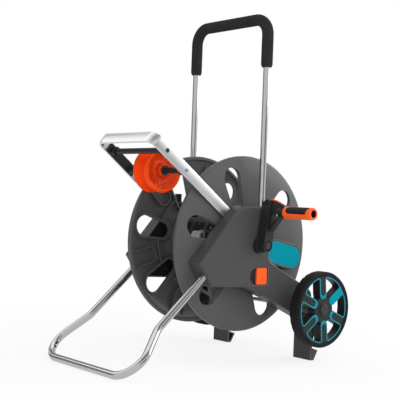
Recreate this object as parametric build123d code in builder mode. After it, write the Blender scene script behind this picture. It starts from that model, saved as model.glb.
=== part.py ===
from build123d import *

import os
from math import asin, cos, radians, sin

# Driving dimensions, in millimetres. X runs along the reel axis towards the crank, -Y to the front stand.
AXIS_HEIGHT = 268.0
FLANGE_R = 200.0
FLANGE_OUT = 88.0
WEB_OUT = 97.5
WEB_IN = 93.3
DRUM_R = 70.0
DRUM_HALF = 76.0
SECTORS = 6
SECTOR_FIRST = 45.0
WINDOW_OUTER = (155.5, 24.0)
WINDOW_INNER = (98.0, 17.0)
WINDOW_ANGLES = {1: (41, 108, 165, 225.5, 293, 347), -1: (48, 113, 168, 220.5, 285, 345)}

SHAFT_R = 8.0
RUN = 0.05
GAP = 0.3

COVER_IN = 101.0
COVER_OUT = 137.0
WALL = 3.0
FRAME_IN = 107.0
FRAME_OUT = 111.0
POD_OUT = 134.2
POD_FLOOR = 130.0
BADGE_THICK = 3.8

TUBE_R = 7.5
STAND_R = 8.6
STAND_BORE_R = 7.4
TUBE_BORE_R = 6.0
HANDLE_X = 123.0
HANDLE_Y = 18.0
HANDLE_TOP = 513.5
HANDLE_FOOT = -95.0
HANDLE_BEND = 38.0
SLEEVE_R = 13.3
SLEEVE_FOOT = 402.0

STAND_SLOPE = 41.3
STAND_BAR_Y = -366.9
STAND_X = 123.5
STAND_BEND = 130.0
STAND_CORNER_X = 184.0
STAND_END = 345.0

GUIDE_SLOPE = 37.0
GUIDE_OUT = 100.0
GUIDE_BASE = 107.0
GUIDE_KNEE = 100.0
GUIDE_THICK = 6.0
GUIDE_WIDTH = 26.0
GUIDE_OFFSET = 13.2
GUIDE_END = 45.0
GUIDE_TOP = 360.0
ROD_R = 6.5
TOP_ROD_T = 313.0
ROLLER_ROD_T = 247.0

ROLLER_R = 50.0
ROLLER_HALF = 27.0

AXLE_Y = 146.5
AXLE_Z = -145.0
AXLE_R = 4.5
AXLE_HALF = 210.0
WHEEL_R = 87.2
WHEEL_IN = 181.0
WHEEL_OUT = 209.5
HUB_CAP_OUT = 212.0
SPOKES = 6
TREAD_BLOCKS = 30

CRANK_LEAN = 9.0
CRANK_IN = 143.0
CRANK_OUT = 167.0
CRANK_HALF = 12.0
KNEE_X = 155.0
KNEE_U = 91.0
GRIP_U = 77.0
GRIP_R = 13.5
GRIP_IN = 205.0
GRIP_OUT = 288.0
SPINDLE_R = 5.0

LATCH_Z = -70.5
LATCH_HEIGHT = 37.0
LATCH_FRONT = -2.0
LATCH_REAR = 29.5
LATCH_ARM = 31.0
LATCH_TRAVEL = 3.5
SCOOP_Y = -5.0
SCOOP_R = 19.0

# The frame's origin is on the ground, in the middle of the box round the whole cart.
MID_X = (HUB_CAP_OUT - GRIP_OUT) / 2
AXIS_Y = (STAND_R - STAND_BAR_Y - AXLE_Y - WHEEL_R) / 2
AXIS = Vector(MID_X, AXIS_Y, AXIS_HEIGHT)
SIDES = {"right": 1, "left": -1}

os.makedirs("parts", exist_ok=True)


def save(builder, label):
    """Name a finished piece and write it."""
    builder.part.label = label
    export_step(builder.part, f"parts/{label}.step")


def across(x, y=0.0, z=0.0):
    """Plane square to the reel axis, x from the mid-plane; its sketch axes are +Y and +Z."""
    return Plane(origin=AXIS + Vector(x, y, z), x_dir=(0, 1, 0), z_dir=(1, 0, 0))


def along(y=0.0, z=0.0):
    """Plane that holds a line parallel to the reel axis; its sketch axes are +X and +Z."""
    return Plane(origin=AXIS + Vector(0, y, z), x_dir=(1, 0, 0), z_dir=(0, -1, 0))


def level(z):
    """Horizontal plane at height z over the reel axis."""
    return Plane(origin=AXIS + Vector(0, 0, z))


def bar(x_from, x_to, radius, y=0.0, z=0.0, mode=Mode.ADD):
    """Round bar, or bore, parallel to the reel axis."""
    with BuildSketch(across(x_from, y, z)) as section:
        Circle(radius)
    extrude(section.sketch, amount=x_to - x_from, mode=mode)


def tube(x_from, x_to, outer, inner, y=0.0, z=0.0):
    """Sleeve parallel to the reel axis."""
    with BuildSketch(across(x_from, y, z)) as section:
        Circle(outer)
        Circle(inner, mode=Mode.SUBTRACT)
    extrude(section.sketch, amount=x_to - x_from)


def turn(points, y=0.0, z=0.0, mode=Mode.ADD):
    """Turned shape from a profile of (x, radius) points about a line parallel to the reel axis."""
    plane = along(y, z)
    with BuildSketch(plane) as section:
        with BuildLine():
            Polyline(*points, close=True)
        make_face()
    revolve(section.sketch, axis=Axis(plane.origin, (1, 0, 0)), mode=mode)


def block(low, high, mode=Mode.ADD):
    """Box between two corners given from the reel axis."""
    with BuildSketch(level(low[2])) as section:
        with Locations(((low[0] + high[0]) / 2, (low[1] + high[1]) / 2)):
            Rectangle(abs(high[0] - low[0]), abs(high[1] - low[1]))
    extrude(section.sketch, amount=high[2] - low[2], mode=mode)


def prism(points, x_from, x_to, mode=Mode.ADD):
    """Plate of a polygon of (y, z) points between two x positions."""
    with BuildSketch(across(x_from)) as section:
        with BuildLine():
            Polyline(*points, close=True)
        make_face()
    extrude(section.sketch, amount=x_to - x_from, mode=mode)


def upright(x, y, z_from, z_to, radius, mode=Mode.ADD):
    """Vertical round bar or bore."""
    with BuildSketch(level(z_from)) as section:
        with Locations((x, y)):
            Circle(radius)
    extrude(section.sketch, amount=z_to - z_from, mode=mode)


# Reel: two domed flanges with teardrop windows on a lattice drum
def windows(side, grow):
    """Teardrop outlines round the reel axis, each two circles and the polygon between their tangents."""
    outer_at, outer_r = WINDOW_OUTER
    inner_at, inner_r = WINDOW_INNER
    outer_r += grow
    inner_r += grow
    lean = asin((outer_r - inner_r) / (outer_at - inner_at))
    near = (inner_at - inner_r * sin(lean), inner_r * cos(lean))
    far = (outer_at - outer_r * sin(lean), outer_r * cos(lean))
    for angle in WINDOW_ANGLES[side]:
        with PolarLocations(outer_at, 1, start_angle=angle):
            Circle(outer_r)
        with PolarLocations(inner_at, 1, start_angle=angle):
            Circle(inner_r)
        with PolarLocations(0, 1, start_angle=angle):
            Polygon(near, far, (far[0], -far[1]), (near[0], -near[1]), align=None)


FLANGE_CENTRE = [
    (DRUM_HALF, 74),
    (DRUM_HALF, SHAFT_R + RUN),
    (86, SHAFT_R + RUN),
    (86, 46),
    (WEB_OUT - 1.5, 66),
    (WEB_OUT, 84),
    (WEB_OUT, 125),
]
FLANGE_DOME = [
    (WEB_OUT, 125),
    (WEB_OUT - 0.8, 148),
    (WEB_OUT - 3.2, 170),
    (WEB_OUT - 6.4, 186),
    (FLANGE_OUT, 197),
]
FLANGE_RIM = [(FLANGE_OUT, 197), (86, FLANGE_R), (79, FLANGE_R), (77, 198), (77, 193), (83.5, 190)]
FLANGE_DISH = [(83.5, 190), (WEB_IN - 5.2, 179), (WEB_IN - 2.1, 164), (WEB_IN - 0.5, 146), (WEB_IN, 125)]
FLANGE_FLOOR = [(WEB_IN, 125), (WEB_IN, 84), (91, 76), (DRUM_HALF, 74)]
COLLAR_WALL = 5.0
COLLAR_IN = 85.0
RIB_IN = 84.0
RIB_WIDTH = 3.0
POCKET_FOOT = 120.0
POCKET_R = 20.0
RIB_END = 184.0
LIP_DEPTH = 3.0
LIP_SLOPE = 40.0
REEL_SCREW_AT = 40.0
REEL_SCREW_R = 2.5


def pocket(inset):
    """Round-ended pockets that open towards the rim, one between each two windows, drawn in by the inset."""
    length = 2 * (RIB_END - POCKET_FOOT - inset)
    with PolarLocations(RIB_END, SECTORS, start_angle=SECTOR_FIRST + 30):
        SlotOverall(length, 2 * (POCKET_R - inset))


def flange_skin(side, rows, ends):
    """Smooth line through (x, radius) points, leaving and arriving in the given directions."""
    Spline(*[(side * x, r) for x, r in rows], tangents=[(side * x, r) for x, r in ends])


def flange_web(side):
    """Domed disc as a turned shape."""
    plane = along()
    with BuildSketch(plane) as section:
        with BuildLine():
            Polyline(*[(side * x, r) for x, r in FLANGE_CENTRE])
            flange_skin(side, FLANGE_DOME, [(0, 1), (-0.5, 1)])
            Polyline(*[(side * x, r) for x, r in FLANGE_RIM])
            flange_skin(side, FLANGE_DISH, [(0.5, -1), (0, -1)])
            Polyline(*[(side * x, r) for x, r in FLANGE_FLOOR])
        make_face()
    revolve(section.sketch, axis=Axis(plane.origin, (1, 0, 0)))


def flange(side):
    """Domed disc with deep window collars and stiffening ribs on the hose side."""
    with BuildPart() as disc:
        flange_web(side)
        with BuildSketch(mode=Mode.PRIVATE) as ribs:
            with BuildSketch(mode=Mode.PRIVATE) as pockets:
                pocket(RIB_WIDTH)
            pocket(0)
            add(pockets.sketch, mode=Mode.SUBTRACT)
            with BuildSketch(mode=Mode.PRIVATE) as ring:
                Circle(113.5)
                Circle(110.5, mode=Mode.SUBTRACT)
            add(ring.sketch)
            Circle(RIB_END, mode=Mode.INTERSECT)
        with BuildPart(mode=Mode.PRIVATE) as stiffeners:
            with BuildSketch(across(side * RIB_IN)):
                add(ribs.sketch)
            extrude(amount=side * (WEB_OUT - RIB_IN))
            with BuildSketch(across(side * COLLAR_IN)):
                windows(side, COLLAR_WALL)
            extrude(amount=side * (WEB_OUT - COLLAR_IN))
            turn([(side * x, r) for x, r in [
                (RIB_IN, 76.5), (RIB_IN, RIB_END), (88.5, RIB_END), (90.4, 179), (93.2, 164),
                (95.3, 140), (95.3, 76.5)]], mode=Mode.INTERSECT)
        add(stiffeners.part)
        with BuildSketch(across(side * (RIB_IN - 5))):
            windows(side, 0)
        extrude(amount=side * 40, mode=Mode.SUBTRACT)
        with BuildSketch(across(side * (WEB_OUT - LIP_DEPTH))):
            windows(side, 0)
        extrude(amount=side * (LIP_DEPTH + 1), taper=-LIP_SLOPE, mode=Mode.SUBTRACT)
        with BuildSketch(across(side * (DRUM_HALF - 1))):
            with PolarLocations(REEL_SCREW_AT, SECTORS, start_angle=SECTOR_FIRST):
                Circle(REEL_SCREW_R + RUN)
        extrude(amount=side * 20, mode=Mode.SUBTRACT)
    return disc


for name, side in SIDES.items():
    save(flange(side), f"{name}_flange")

DRUM_WALL = 4.0
LATTICE_COLUMNS = 12
LATTICE_ROWS = (-46.0, 0.0, 46.0)
OUTLET_X = 23.0
OUTLET_Y = -86.0
OUTLET_Z = 15.0
NOZZLE_FROM, NOZZLE_TO = 12.0, 42.0
with BuildPart() as drum_core:
    tube(-DRUM_HALF, DRUM_HALF, DRUM_R, DRUM_R - DRUM_WALL)
    for side in SIDES.values():
        tube(side * DRUM_HALF, side * (DRUM_HALF - 5), DRUM_R - 1, 24)
    for row in LATTICE_ROWS:
        with BuildSketch(level(0)):
            with Locations((row, 0)):
                Rectangle(34, 22)
        lattice_cut = extrude(amount=DRUM_R + 5, mode=Mode.PRIVATE)
        for column in range(LATTICE_COLUMNS):
            add(lattice_cut.rotate(Axis(AXIS, (1, 0, 0)), column * 360 / LATTICE_COLUMNS), mode=Mode.SUBTRACT)
    with BuildSketch(Plane(origin=AXIS + Vector(OUTLET_X, 0, OUTLET_Z), x_dir=(1, 0, 0), z_dir=(0, -1, 0))):
        Circle(15)
    extrude(amount=DRUM_R + 1)
    with BuildSketch(Plane(origin=AXIS + Vector(OUTLET_X, 0, OUTLET_Z), x_dir=(1, 0, 0), z_dir=(0, -1, 0))):
        Circle(11 + RUN)
    extrude(amount=DRUM_R + 5, mode=Mode.SUBTRACT)
    bar(-DRUM_HALF, DRUM_HALF, DRUM_R - DRUM_WALL - 6, mode=Mode.SUBTRACT)
    for side in SIDES.values():
        tube(side * DRUM_HALF, side * (DRUM_HALF - 5), DRUM_R - 1, 24)
    with BuildSketch(across(-DRUM_HALF - 1)):
        with PolarLocations(REEL_SCREW_AT, SECTORS, start_angle=SECTOR_FIRST):
            Circle(REEL_SCREW_R + RUN)
    extrude(amount=2 * DRUM_HALF + 2, mode=Mode.SUBTRACT)
save(drum_core, "drum_core")

with BuildPart() as reel_screws:
    for side in SIDES.values():
        with BuildSketch(across(side * 60)):
            with PolarLocations(REEL_SCREW_AT, SECTORS, start_angle=SECTOR_FIRST):
                Circle(REEL_SCREW_R)
        extrude(amount=side * 27)
        with BuildSketch(across(side * 86)):
            with PolarLocations(REEL_SCREW_AT, SECTORS, start_angle=SECTOR_FIRST):
                Circle(4)
        extrude(amount=side * 2.5)
save(reel_screws, "reel_screws")

SHOULDER_R = 12.0
DRIVE_FROM = 58.0
DRIVE_TO = 160.0
with BuildPart() as drive_shaft:
    bar(DRIVE_FROM, DRIVE_TO, SHAFT_R)
    bar(DRIVE_FROM, DRUM_HALF, SHOULDER_R)
    bar(142, DRIVE_TO + 1, 3 + RUN, mode=Mode.SUBTRACT)
save(drive_shaft, "drive_shaft")

WATER_FROM = -152.0
WATER_BORE_R = 5.0
FEED_TOP = 60.0
with BuildPart() as water_shaft:
    bar(WATER_FROM, OUTLET_X + 10, SHAFT_R)
    bar(-DRUM_HALF, -DRUM_HALF + 16, SHOULDER_R)
    bar(OUTLET_X - 10, OUTLET_X + 10, 14)
    bar(WATER_FROM - 1, OUTLET_X + 4, WATER_BORE_R, mode=Mode.SUBTRACT)
    with BuildSketch(Plane(origin=AXIS + Vector(OUTLET_X, 0, 0), x_dir=(1, 0, 0), z_dir=(0, -1, 0))):
        Circle(4)
    extrude(amount=30, mode=Mode.SUBTRACT)
save(water_shaft, "water_shaft")

outlet_plane = Plane(origin=AXIS + Vector(OUTLET_X, -62, OUTLET_Z), x_dir=(1, 0, 0), z_dir=(0, -1, 0))
with BuildPart() as outlet_nipple:
    turn([(NOZZLE_FROM, 0), (NOZZLE_FROM, 7), (NOZZLE_FROM + 4, 11), (32, 11), (33.5, 9), (NOZZLE_TO, 9),
          (NOZZLE_TO, 0)], OUTLET_Y, OUTLET_Z)
    with BuildSketch(outlet_plane):
        Circle(11)
    extrude(amount=10)
    with BuildSketch(outlet_plane.offset(10)):
        Circle(13)
    extrude(amount=4)
    with BuildSketch(outlet_plane.offset(10)):
        Circle(9.5)
    extrude(amount=-OUTLET_Y - 72)
    with BuildSketch(across(NOZZLE_FROM + 3, OUTLET_Y, OUTLET_Z)):
        with PolarLocations(11.6, 14):
            Circle(1.1)
    extrude(amount=15, mode=Mode.SUBTRACT)
    with BuildSketch(outlet_plane.offset(-1)):
        Circle(5.5)
    extrude(amount=-OUTLET_Y - 61, mode=Mode.SUBTRACT)
    bar(OUTLET_X, NOZZLE_TO + 1, 5.5, OUTLET_Y, OUTLET_Z, mode=Mode.SUBTRACT)
save(outlet_nipple, "outlet_nipple")

with BuildPart() as feed_pipe:
    with BuildLine():
        FilletPolyline(
            AXIS + Vector(OUTLET_X, -14.2, 0),
            AXIS + Vector(OUTLET_X, -34, 0),
            AXIS + Vector(OUTLET_X, -44, OUTLET_Z),
            AXIS + Vector(OUTLET_X, -FEED_TOP - 1.8, OUTLET_Z),
            radius=12,
        )
    with BuildSketch(Plane(origin=AXIS + Vector(OUTLET_X, -14.2, 0), z_dir=(0, -1, 0))):
        Circle(7)
        Circle(5, mode=Mode.SUBTRACT)
    sweep()
save(feed_pipe, "feed_pipe")

# Crank: its own axes are X, u along the arm and v across it
U_DIR = Vector(0, sin(radians(CRANK_LEAN)), cos(radians(CRANK_LEAN)))
V_DIR = Vector(0, cos(radians(CRANK_LEAN)), -sin(radians(CRANK_LEAN)))
ARM_PLANE = Plane(origin=AXIS, x_dir=(1, 0, 0), z_dir=V_DIR * -1)
CHEEK = 7.0
TONGUE = CHEEK - GAP
PIN_R = 3.0
SLOT_FOOT = 76.0
HUB_CAP_IN = 164.2
HUB_CAP_R = 11.5


def crank_disc(x, u, radius, half, mode=Mode.ADD):
    """Disc square to v, at (x, u) on the crank."""
    with BuildSketch(ARM_PLANE) as section:
        with Locations((x, u)):
            Circle(radius)
    extrude(section.sketch, amount=half, both=True, mode=mode)


def crank_plate(points, half, mode=Mode.ADD):
    """Plate of (x, u) points, spread both ways across the crank."""
    with BuildSketch(ARM_PLANE) as section:
        with BuildLine():
            Polyline(*points, close=True)
        make_face()
    extrude(section.sketch, amount=half, both=True, mode=mode)


def grip_bar(x_from, x_to, radius, mode=Mode.ADD):
    """Round bar or bore along the grip's axis."""
    spot = U_DIR * GRIP_U
    bar(x_from, x_to, radius, spot.Y, spot.Z, mode)


with BuildPart() as crank_arm:
    crank_plate([(CRANK_IN, 0), (CRANK_OUT, 0), (CRANK_OUT, KNEE_U), (CRANK_IN, KNEE_U)], CRANK_HALF)
    crank_disc(KNEE_X, KNEE_U, CRANK_HALF, CRANK_HALF)
    bar(CRANK_IN, CRANK_OUT, CRANK_HALF + 1.5)
    bar(COVER_OUT + 1.5, CRANK_IN + 4, 18)
    slot_low, slot_high = CRANK_IN - 2, CRANK_OUT + 2
    crank_plate([(slot_low, SLOT_FOOT), (slot_high, SLOT_FOOT), (slot_high, 106), (slot_low, 106)],
                CHEEK, mode=Mode.SUBTRACT)
    crank_disc(KNEE_X, KNEE_U, PIN_R + RUN, CRANK_HALF + 1, mode=Mode.SUBTRACT)
    with BuildSketch(ARM_PLANE.offset(CRANK_HALF - 2)):
        with Locations((KNEE_X, KNEE_U)):
            Circle(5.6)
    extrude(amount=5, mode=Mode.SUBTRACT)
    bar(COVER_OUT, DRIVE_TO + 0.1, SHAFT_R + RUN, mode=Mode.SUBTRACT)
    bar(DRIVE_TO - 1, CRANK_OUT + 1, 9.5 + RUN, mode=Mode.SUBTRACT)
    bar(HUB_CAP_IN, CRANK_OUT + 1, HUB_CAP_R + RUN, mode=Mode.SUBTRACT)
save(crank_arm, "crank_arm")

with BuildPart() as crank_screw:
    bar(143, DRIVE_TO + 2, 3)
    bar(DRIVE_TO, DRIVE_TO + 4, 6.5)
save(crank_screw, "crank_screw")

with BuildPart() as crank_hub_cap:
    turn([(HUB_CAP_IN, 0), (HUB_CAP_IN, HUB_CAP_R), (HUB_CAP_IN + 1, HUB_CAP_R), (HUB_CAP_IN + 1, 8.3),
          (CRANK_OUT, 8.3), (CRANK_OUT + 0.8, 7.3), (CRANK_OUT + 0.8, 0)])
save(crank_hub_cap, "crank_hub_cap")

with BuildPart() as knee_pin:
    crank_disc(KNEE_X, KNEE_U, PIN_R, CRANK_HALF - 2.1)
    with BuildSketch(ARM_PLANE.offset(CRANK_HALF - 2)):
        with Locations((KNEE_X, KNEE_U)):
            Circle(5)
            RegularPolygon(2.2, 6, mode=Mode.SUBTRACT)
    extrude(amount=1.4)
    with BuildSketch(ARM_PLANE.offset(CRANK_HALF - 2.2)):
        with Locations((KNEE_X, KNEE_U)):
            Circle(PIN_R)
    extrude(amount=0.4)
save(knee_pin, "knee_pin")

BRACKET_IN = CRANK_OUT + 0.6
BRACKET_OUT = 204.0
BRACKET_HALF = 6.5
BUTTON_FROM, BUTTON_TO = 160.0, 182.0
BUTTON_HALF = 5.0
BUTTON_FOOT = 98.3
with BuildPart() as knee_bracket:
    crank_disc(KNEE_X, KNEE_U, CRANK_HALF - 0.5, TONGUE)
    crank_plate([(KNEE_X, 80), (172, 80), (172, 101), (KNEE_X, 102.5)], TONGUE)
    crank_plate([(BRACKET_IN, 102), (184, 98.5), (BRACKET_OUT - 3, 92), (BRACKET_OUT, 89), (BRACKET_OUT, 66),
                 (194, 64.5), (173.5, 34.5), (BRACKET_IN, 34.5)], BRACKET_HALF)
    grip_bar(186, BRACKET_OUT - 2.5, 10.5)
    crank_plate([(171.5, 46), (171.5, 73), (189, 71), (189, 66.5)], BRACKET_HALF + 5, mode=Mode.SUBTRACT)
    crank_disc(KNEE_X, KNEE_U, PIN_R + RUN, CRANK_HALF, mode=Mode.SUBTRACT)
    room_from = BUTTON_FROM - GAP
    room_to = BUTTON_TO + GAP
    button_room = [(room_from, 96), (room_to, 96), (room_to, 110), (room_from, 110)]
    crank_plate(button_room, BUTTON_HALF + GAP, mode=Mode.SUBTRACT)
    grip_bar(180, BRACKET_OUT + 1, SPINDLE_R + RUN, mode=Mode.SUBTRACT)
    fillet(knee_bracket.edges().filter_by(Axis((0, 0, 0), V_DIR)).sort_by(Axis.X)[-2:], 1.5)
save(knee_bracket, "knee_bracket")

with BuildPart() as fold_button:
    crank_plate([(BUTTON_FROM, BUTTON_FOOT), (BUTTON_TO, BUTTON_FOOT), (BUTTON_TO, 100.5), (172, 104),
                 (164, 105.4), (BUTTON_FROM, 105)], BUTTON_HALF)
save(fold_button, "fold_button")

SPINDLE_END = 252.0
with BuildPart() as grip_spindle:
    grip_bar(180.2, SPINDLE_END, SPINDLE_R)
    grip_bar(SPINDLE_END - 12, SPINDLE_END + 1, 2 + RUN, mode=Mode.SUBTRACT)
save(grip_spindle, "grip_spindle")

with BuildPart() as grip_retainer:
    grip_bar(SPINDLE_END, SPINDLE_END + 2, 8)
    grip_bar(SPINDLE_END - 10, SPINDLE_END, 2)
    grip_bar(SPINDLE_END + 2, SPINDLE_END + 4.5, 4)
save(grip_retainer, "grip_retainer")

PAD_FROM, PAD_TO = 216.0, 277.5
PAD_WIDTH = 18.0
PAD_DEPTH = 2.2
PAD_TILT = 25.0
PAD_SLANT = 3.0
grip_spot = U_DIR * GRIP_U
PAD_NORMAL = U_DIR * sin(radians(PAD_TILT)) - V_DIR * cos(radians(PAD_TILT))
PAD_PLANE = Plane(origin=AXIS + grip_spot, x_dir=(1, 0, 0), z_dir=PAD_NORMAL)


def pad_outline(shrink):
    """Thumb pad: round towards the knee, cut on a slant towards the end of the grip."""
    half = PAD_WIDTH / 2 - shrink
    middle = PAD_FROM + PAD_WIDTH / 2
    with Locations((middle, 0)):
        Circle(half)
    Polygon((middle, -half), (PAD_TO - PAD_SLANT - shrink, -half), (PAD_TO + PAD_SLANT - shrink, half),
            (middle, half), align=None)


with BuildPart() as grip_core:
    turn([(GRIP_IN, 0), (GRIP_IN, 11.5), (GRIP_IN + 3, GRIP_R), (GRIP_OUT - 6.5, GRIP_R), (GRIP_OUT - 5, 12.9),
          (GRIP_OUT - 2.5, GRIP_R), (GRIP_OUT, GRIP_R - 1.5), (GRIP_OUT, 0)], grip_spot.Y, grip_spot.Z)
    grip_bar(GRIP_IN - 1, SPINDLE_END - 0.5, SPINDLE_R + RUN, mode=Mode.SUBTRACT)
    grip_bar(SPINDLE_END - 0.5, GRIP_OUT + 1, 8.6, mode=Mode.SUBTRACT)
    for face in (1, -1):
        with BuildSketch(PAD_PLANE.offset(face * (GRIP_R - PAD_DEPTH - 2))):
            pad_outline(0)
        extrude(amount=face * 12, mode=Mode.SUBTRACT)
save(grip_core, "grip_core")

with BuildPart() as grip_pads:
    for face in (1, -1):
        with BuildSketch(PAD_PLANE.offset(face * (GRIP_R - PAD_DEPTH - 2))):
            pad_outline(0.1)
        extrude(amount=face * 12)
    grip_bar(PAD_FROM - 5, PAD_TO + 15, GRIP_R + 0.3, mode=Mode.INTERSECT)
save(grip_pads, "grip_pads")

# Side covers, frames and what they hold
COVER_POINTS = [
    (-170.5, -38), (-59, 87), (33, 87), (35, 8), (37, -36), (186, -111.5),
    (181, -162), (152, -174.5), (31, -119), (-36, -94), (-134.8, -89.4),
]
COVER_RADII = [4, 55, 12, 30, 12, 22, 18, 14, 40, 40, 6]
BADGE_AT = (87.0, -23.0)
BADGE_SIZE = (106.0, 49.0)
BADGE_TILT = -13.0
BADGE_CORNER = 22.0
POD_RIM = 5.0
COVER_SCREWS = [(-110, 0), (-70, -72), (75, -95), (-12, 46)]
BOSS_R = 5.0
SCREW_R = 2.0


def cover_outline():
    """Outline of a side cover, from the reel axis."""
    with BuildLine() as edge:
        FilletPolyline(*COVER_POINTS, radius=COVER_RADII, close=True)
    make_face(edge.edges())


def badge_outline(grow):
    """Tilted rounded rectangle of the rear pod and its plate."""
    with Locations(Location((*BADGE_AT, 0), BADGE_TILT)):
        RectangleRounded(BADGE_SIZE[0] + 2 * grow, BADGE_SIZE[1] + 2 * grow, BADGE_CORNER + grow)


def cover_outline_keepout(gap):
    """Trim whatever lies behind the cover's own edge, with a small gap."""
    with BuildLine() as edge:
        FilletPolyline(*COVER_POINTS, radius=COVER_RADII, close=True)
    keepout = make_face(edge.edges(), mode=Mode.PRIVATE)
    if gap:
        keepout = offset(keepout, amount=gap, kind=Kind.INTERSECTION, mode=Mode.PRIVATE)
    add(keepout, mode=Mode.SUBTRACT)


STAND_DIR = Vector(0, cos(radians(STAND_SLOPE)), sin(radians(STAND_SLOPE)))
STAND_BAR_Z = STAND_R - AXIS_HEIGHT


def stand_plane(side, s):
    """Plane square to a stand leg, s up the slope from the bar."""
    spot = AXIS + Vector(side * STAND_X, STAND_BAR_Y, STAND_BAR_Z) + STAND_DIR * s
    return Plane(origin=spot, x_dir=(1, 0, 0), z_dir=STAND_DIR)


def side_cover(side):
    """Shell over the side frame, open towards the reel, with a rear pod and a latch window."""
    with BuildPart() as cover:
        with BuildSketch(across(side * COVER_IN)):
            cover_outline()
        extrude(amount=side * (COVER_OUT - COVER_IN))
        outer = cover.faces().sort_by(Axis.X)[-1 if side > 0 else 0]
        fillet(outer.edges(), 5)
        with BuildSketch(across(side * COVER_IN)):
            badge_outline(POD_RIM)
        extrude(amount=side * (POD_OUT - COVER_IN))
        with BuildSketch(across(side * COVER_IN)):
            badge_outline(POD_RIM - WALL)
        extrude(amount=side * (POD_FLOOR - WALL - COVER_IN), mode=Mode.SUBTRACT)
        with BuildSketch(across(side * POD_FLOOR)):
            badge_outline(0.3)
            cover_outline_keepout(0)
        extrude(amount=side * 30, mode=Mode.SUBTRACT)
        with BuildSketch(across(side * COVER_IN)):
            cover_outline()
            offset(amount=-WALL, kind=Kind.INTERSECTION, mode=Mode.REPLACE)
        extrude(amount=side * (COVER_OUT - WALL - COVER_IN), mode=Mode.SUBTRACT)
        for y, z in COVER_SCREWS:
            bar(side * FRAME_OUT, side * (COVER_OUT - WALL + 0.5), BOSS_R, y, z)
            bar(side * COVER_IN, side * (COVER_OUT - WALL - 4), SCREW_R + RUN, y, z, mode=Mode.SUBTRACT)
        bar(side * FRAME_OUT, side * (COVER_OUT - WALL + 0.5), 10, AXLE_Y, AXLE_Z)
        bar(side * COVER_IN, side * (COVER_OUT + 1), AXLE_R + RUN, AXLE_Y, AXLE_Z, mode=Mode.SUBTRACT)
        bar(side * (COVER_OUT - 6), side * (COVER_OUT + 1), 12, mode=Mode.SUBTRACT)
        upright(side * HANDLE_X, HANDLE_Y, -140, 100, TUBE_R + 1.2, mode=Mode.SUBTRACT)
        with BuildSketch(stand_plane(side, 262)):
            Circle(STAND_R + 0.6)
        extrude(amount=40, mode=Mode.SUBTRACT)
        with BuildSketch(across(side * (COVER_OUT - WALL - 1))):
            latch_window(0)
        extrude(amount=side * 6, mode=Mode.SUBTRACT)
        with BuildSketch(GUIDE_PLANE):
            with Locations((-side * (GUIDE_BASE + GAP - 5), 120)):
                Rectangle(10, 160)
        extrude(amount=GUIDE_WIDTH / 2 + GAP, both=True, mode=Mode.SUBTRACT)
    return cover


def latch_window(grow):
    """Latch opening: a rectangle for the button and a round finger scoop in front of it."""
    span = LATCH_REAR + LATCH_TRAVEL + 0.5 - SCOOP_Y
    with Locations((SCOOP_Y + span / 2, LATCH_Z)):
        Rectangle(span + 2 * grow, LATCH_HEIGHT + 2 + 2 * grow)
    with Locations((SCOOP_Y, LATCH_Z)):
        Circle(SCOOP_R + grow)


def tray_stop(side):
    """Inner face of the latch tray's floor, just clear of the handle tube."""
    return side * (HANDLE_X + TUBE_R + GAP)


GUIDE_DIR = Vector(0, -cos(radians(GUIDE_SLOPE)), sin(radians(GUIDE_SLOPE)))
GUIDE_NORMAL = Vector(0, sin(radians(GUIDE_SLOPE)), cos(radians(GUIDE_SLOPE)))
GUIDE_PLANE = Plane(origin=AXIS + GUIDE_NORMAL * GUIDE_OFFSET, x_dir=(-1, 0, 0), z_dir=GUIDE_NORMAL)
RIVET_T = (56.0, 82.0)
RIVET_R = 2.5


def guide_spot(t, n=GUIDE_OFFSET):
    """Point (y, z) of the hose guide, t up its slope and n across it."""
    spot = GUIDE_DIR * t + GUIDE_NORMAL * n
    return spot.Y, spot.Z


BUSH_R = 12.0
BUSH_OUT = 113.0
POST_Y = 45.0


def side_frame(side):
    """Plate that carries the reel bearing, the handle guides, the stand leg, the axle and the latch spring."""
    with BuildPart() as frame:
        with BuildSketch(across(side * FRAME_IN)):
            cover_outline()
            offset(amount=-WALL - 0.5, kind=Kind.INTERSECTION, mode=Mode.REPLACE)
        extrude(amount=side * (FRAME_OUT - FRAME_IN))
        bar(side * 97, side * BUSH_OUT, 19)
        for low, high in ((44, 76), (-46, -24)):
            upright(side * HANDLE_X, HANDLE_Y, low, high, 10.5)
            block((side * (FRAME_OUT - 1), HANDLE_Y - 6, low), (side * HANDLE_X, HANDLE_Y + 6, high))
        block((side * (FRAME_OUT - 1), POST_Y, LATCH_Z - 6), (side * 129, POST_Y + 4, LATCH_Z + 6))
        with BuildSketch(stand_plane(side, STAND_END - 48)):
            Circle(10.5)
            with Locations((side * -10, 0)):
                Rectangle(13, 15)
        extrude(amount=47)
        with BuildSketch(stand_plane(side, 270)):
            Circle(STAND_R + RUN)
        extrude(amount=STAND_END - 270 + 0.2, mode=Mode.SUBTRACT)
        upright(side * HANDLE_X, HANDLE_Y, -60, 100, TUBE_R + 0.1, mode=Mode.SUBTRACT)
        bar(side * 95, side * 115, BUSH_R + RUN, mode=Mode.SUBTRACT)
        for y, z in COVER_SCREWS:
            bar(side * 106, side * 112, SCREW_R + 0.1, y, z, mode=Mode.SUBTRACT)
        for t in RIVET_T:
            bar(side * 106, side * 112, RIVET_R + RUN, *guide_spot(t), mode=Mode.SUBTRACT)
        bar(side * 106, side * 112, AXLE_R + RUN, AXLE_Y, AXLE_Z, mode=Mode.SUBTRACT)
    return frame


def bearing_bush(side):
    """Flanged plain bearing of the reel shaft."""
    with BuildPart() as bush:
        tube(side * 97, side * BUSH_OUT, BUSH_R, SHAFT_R + RUN)
        tube(side * 94, side * 97, 17, SHAFT_R + RUN)
    return bush


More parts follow.
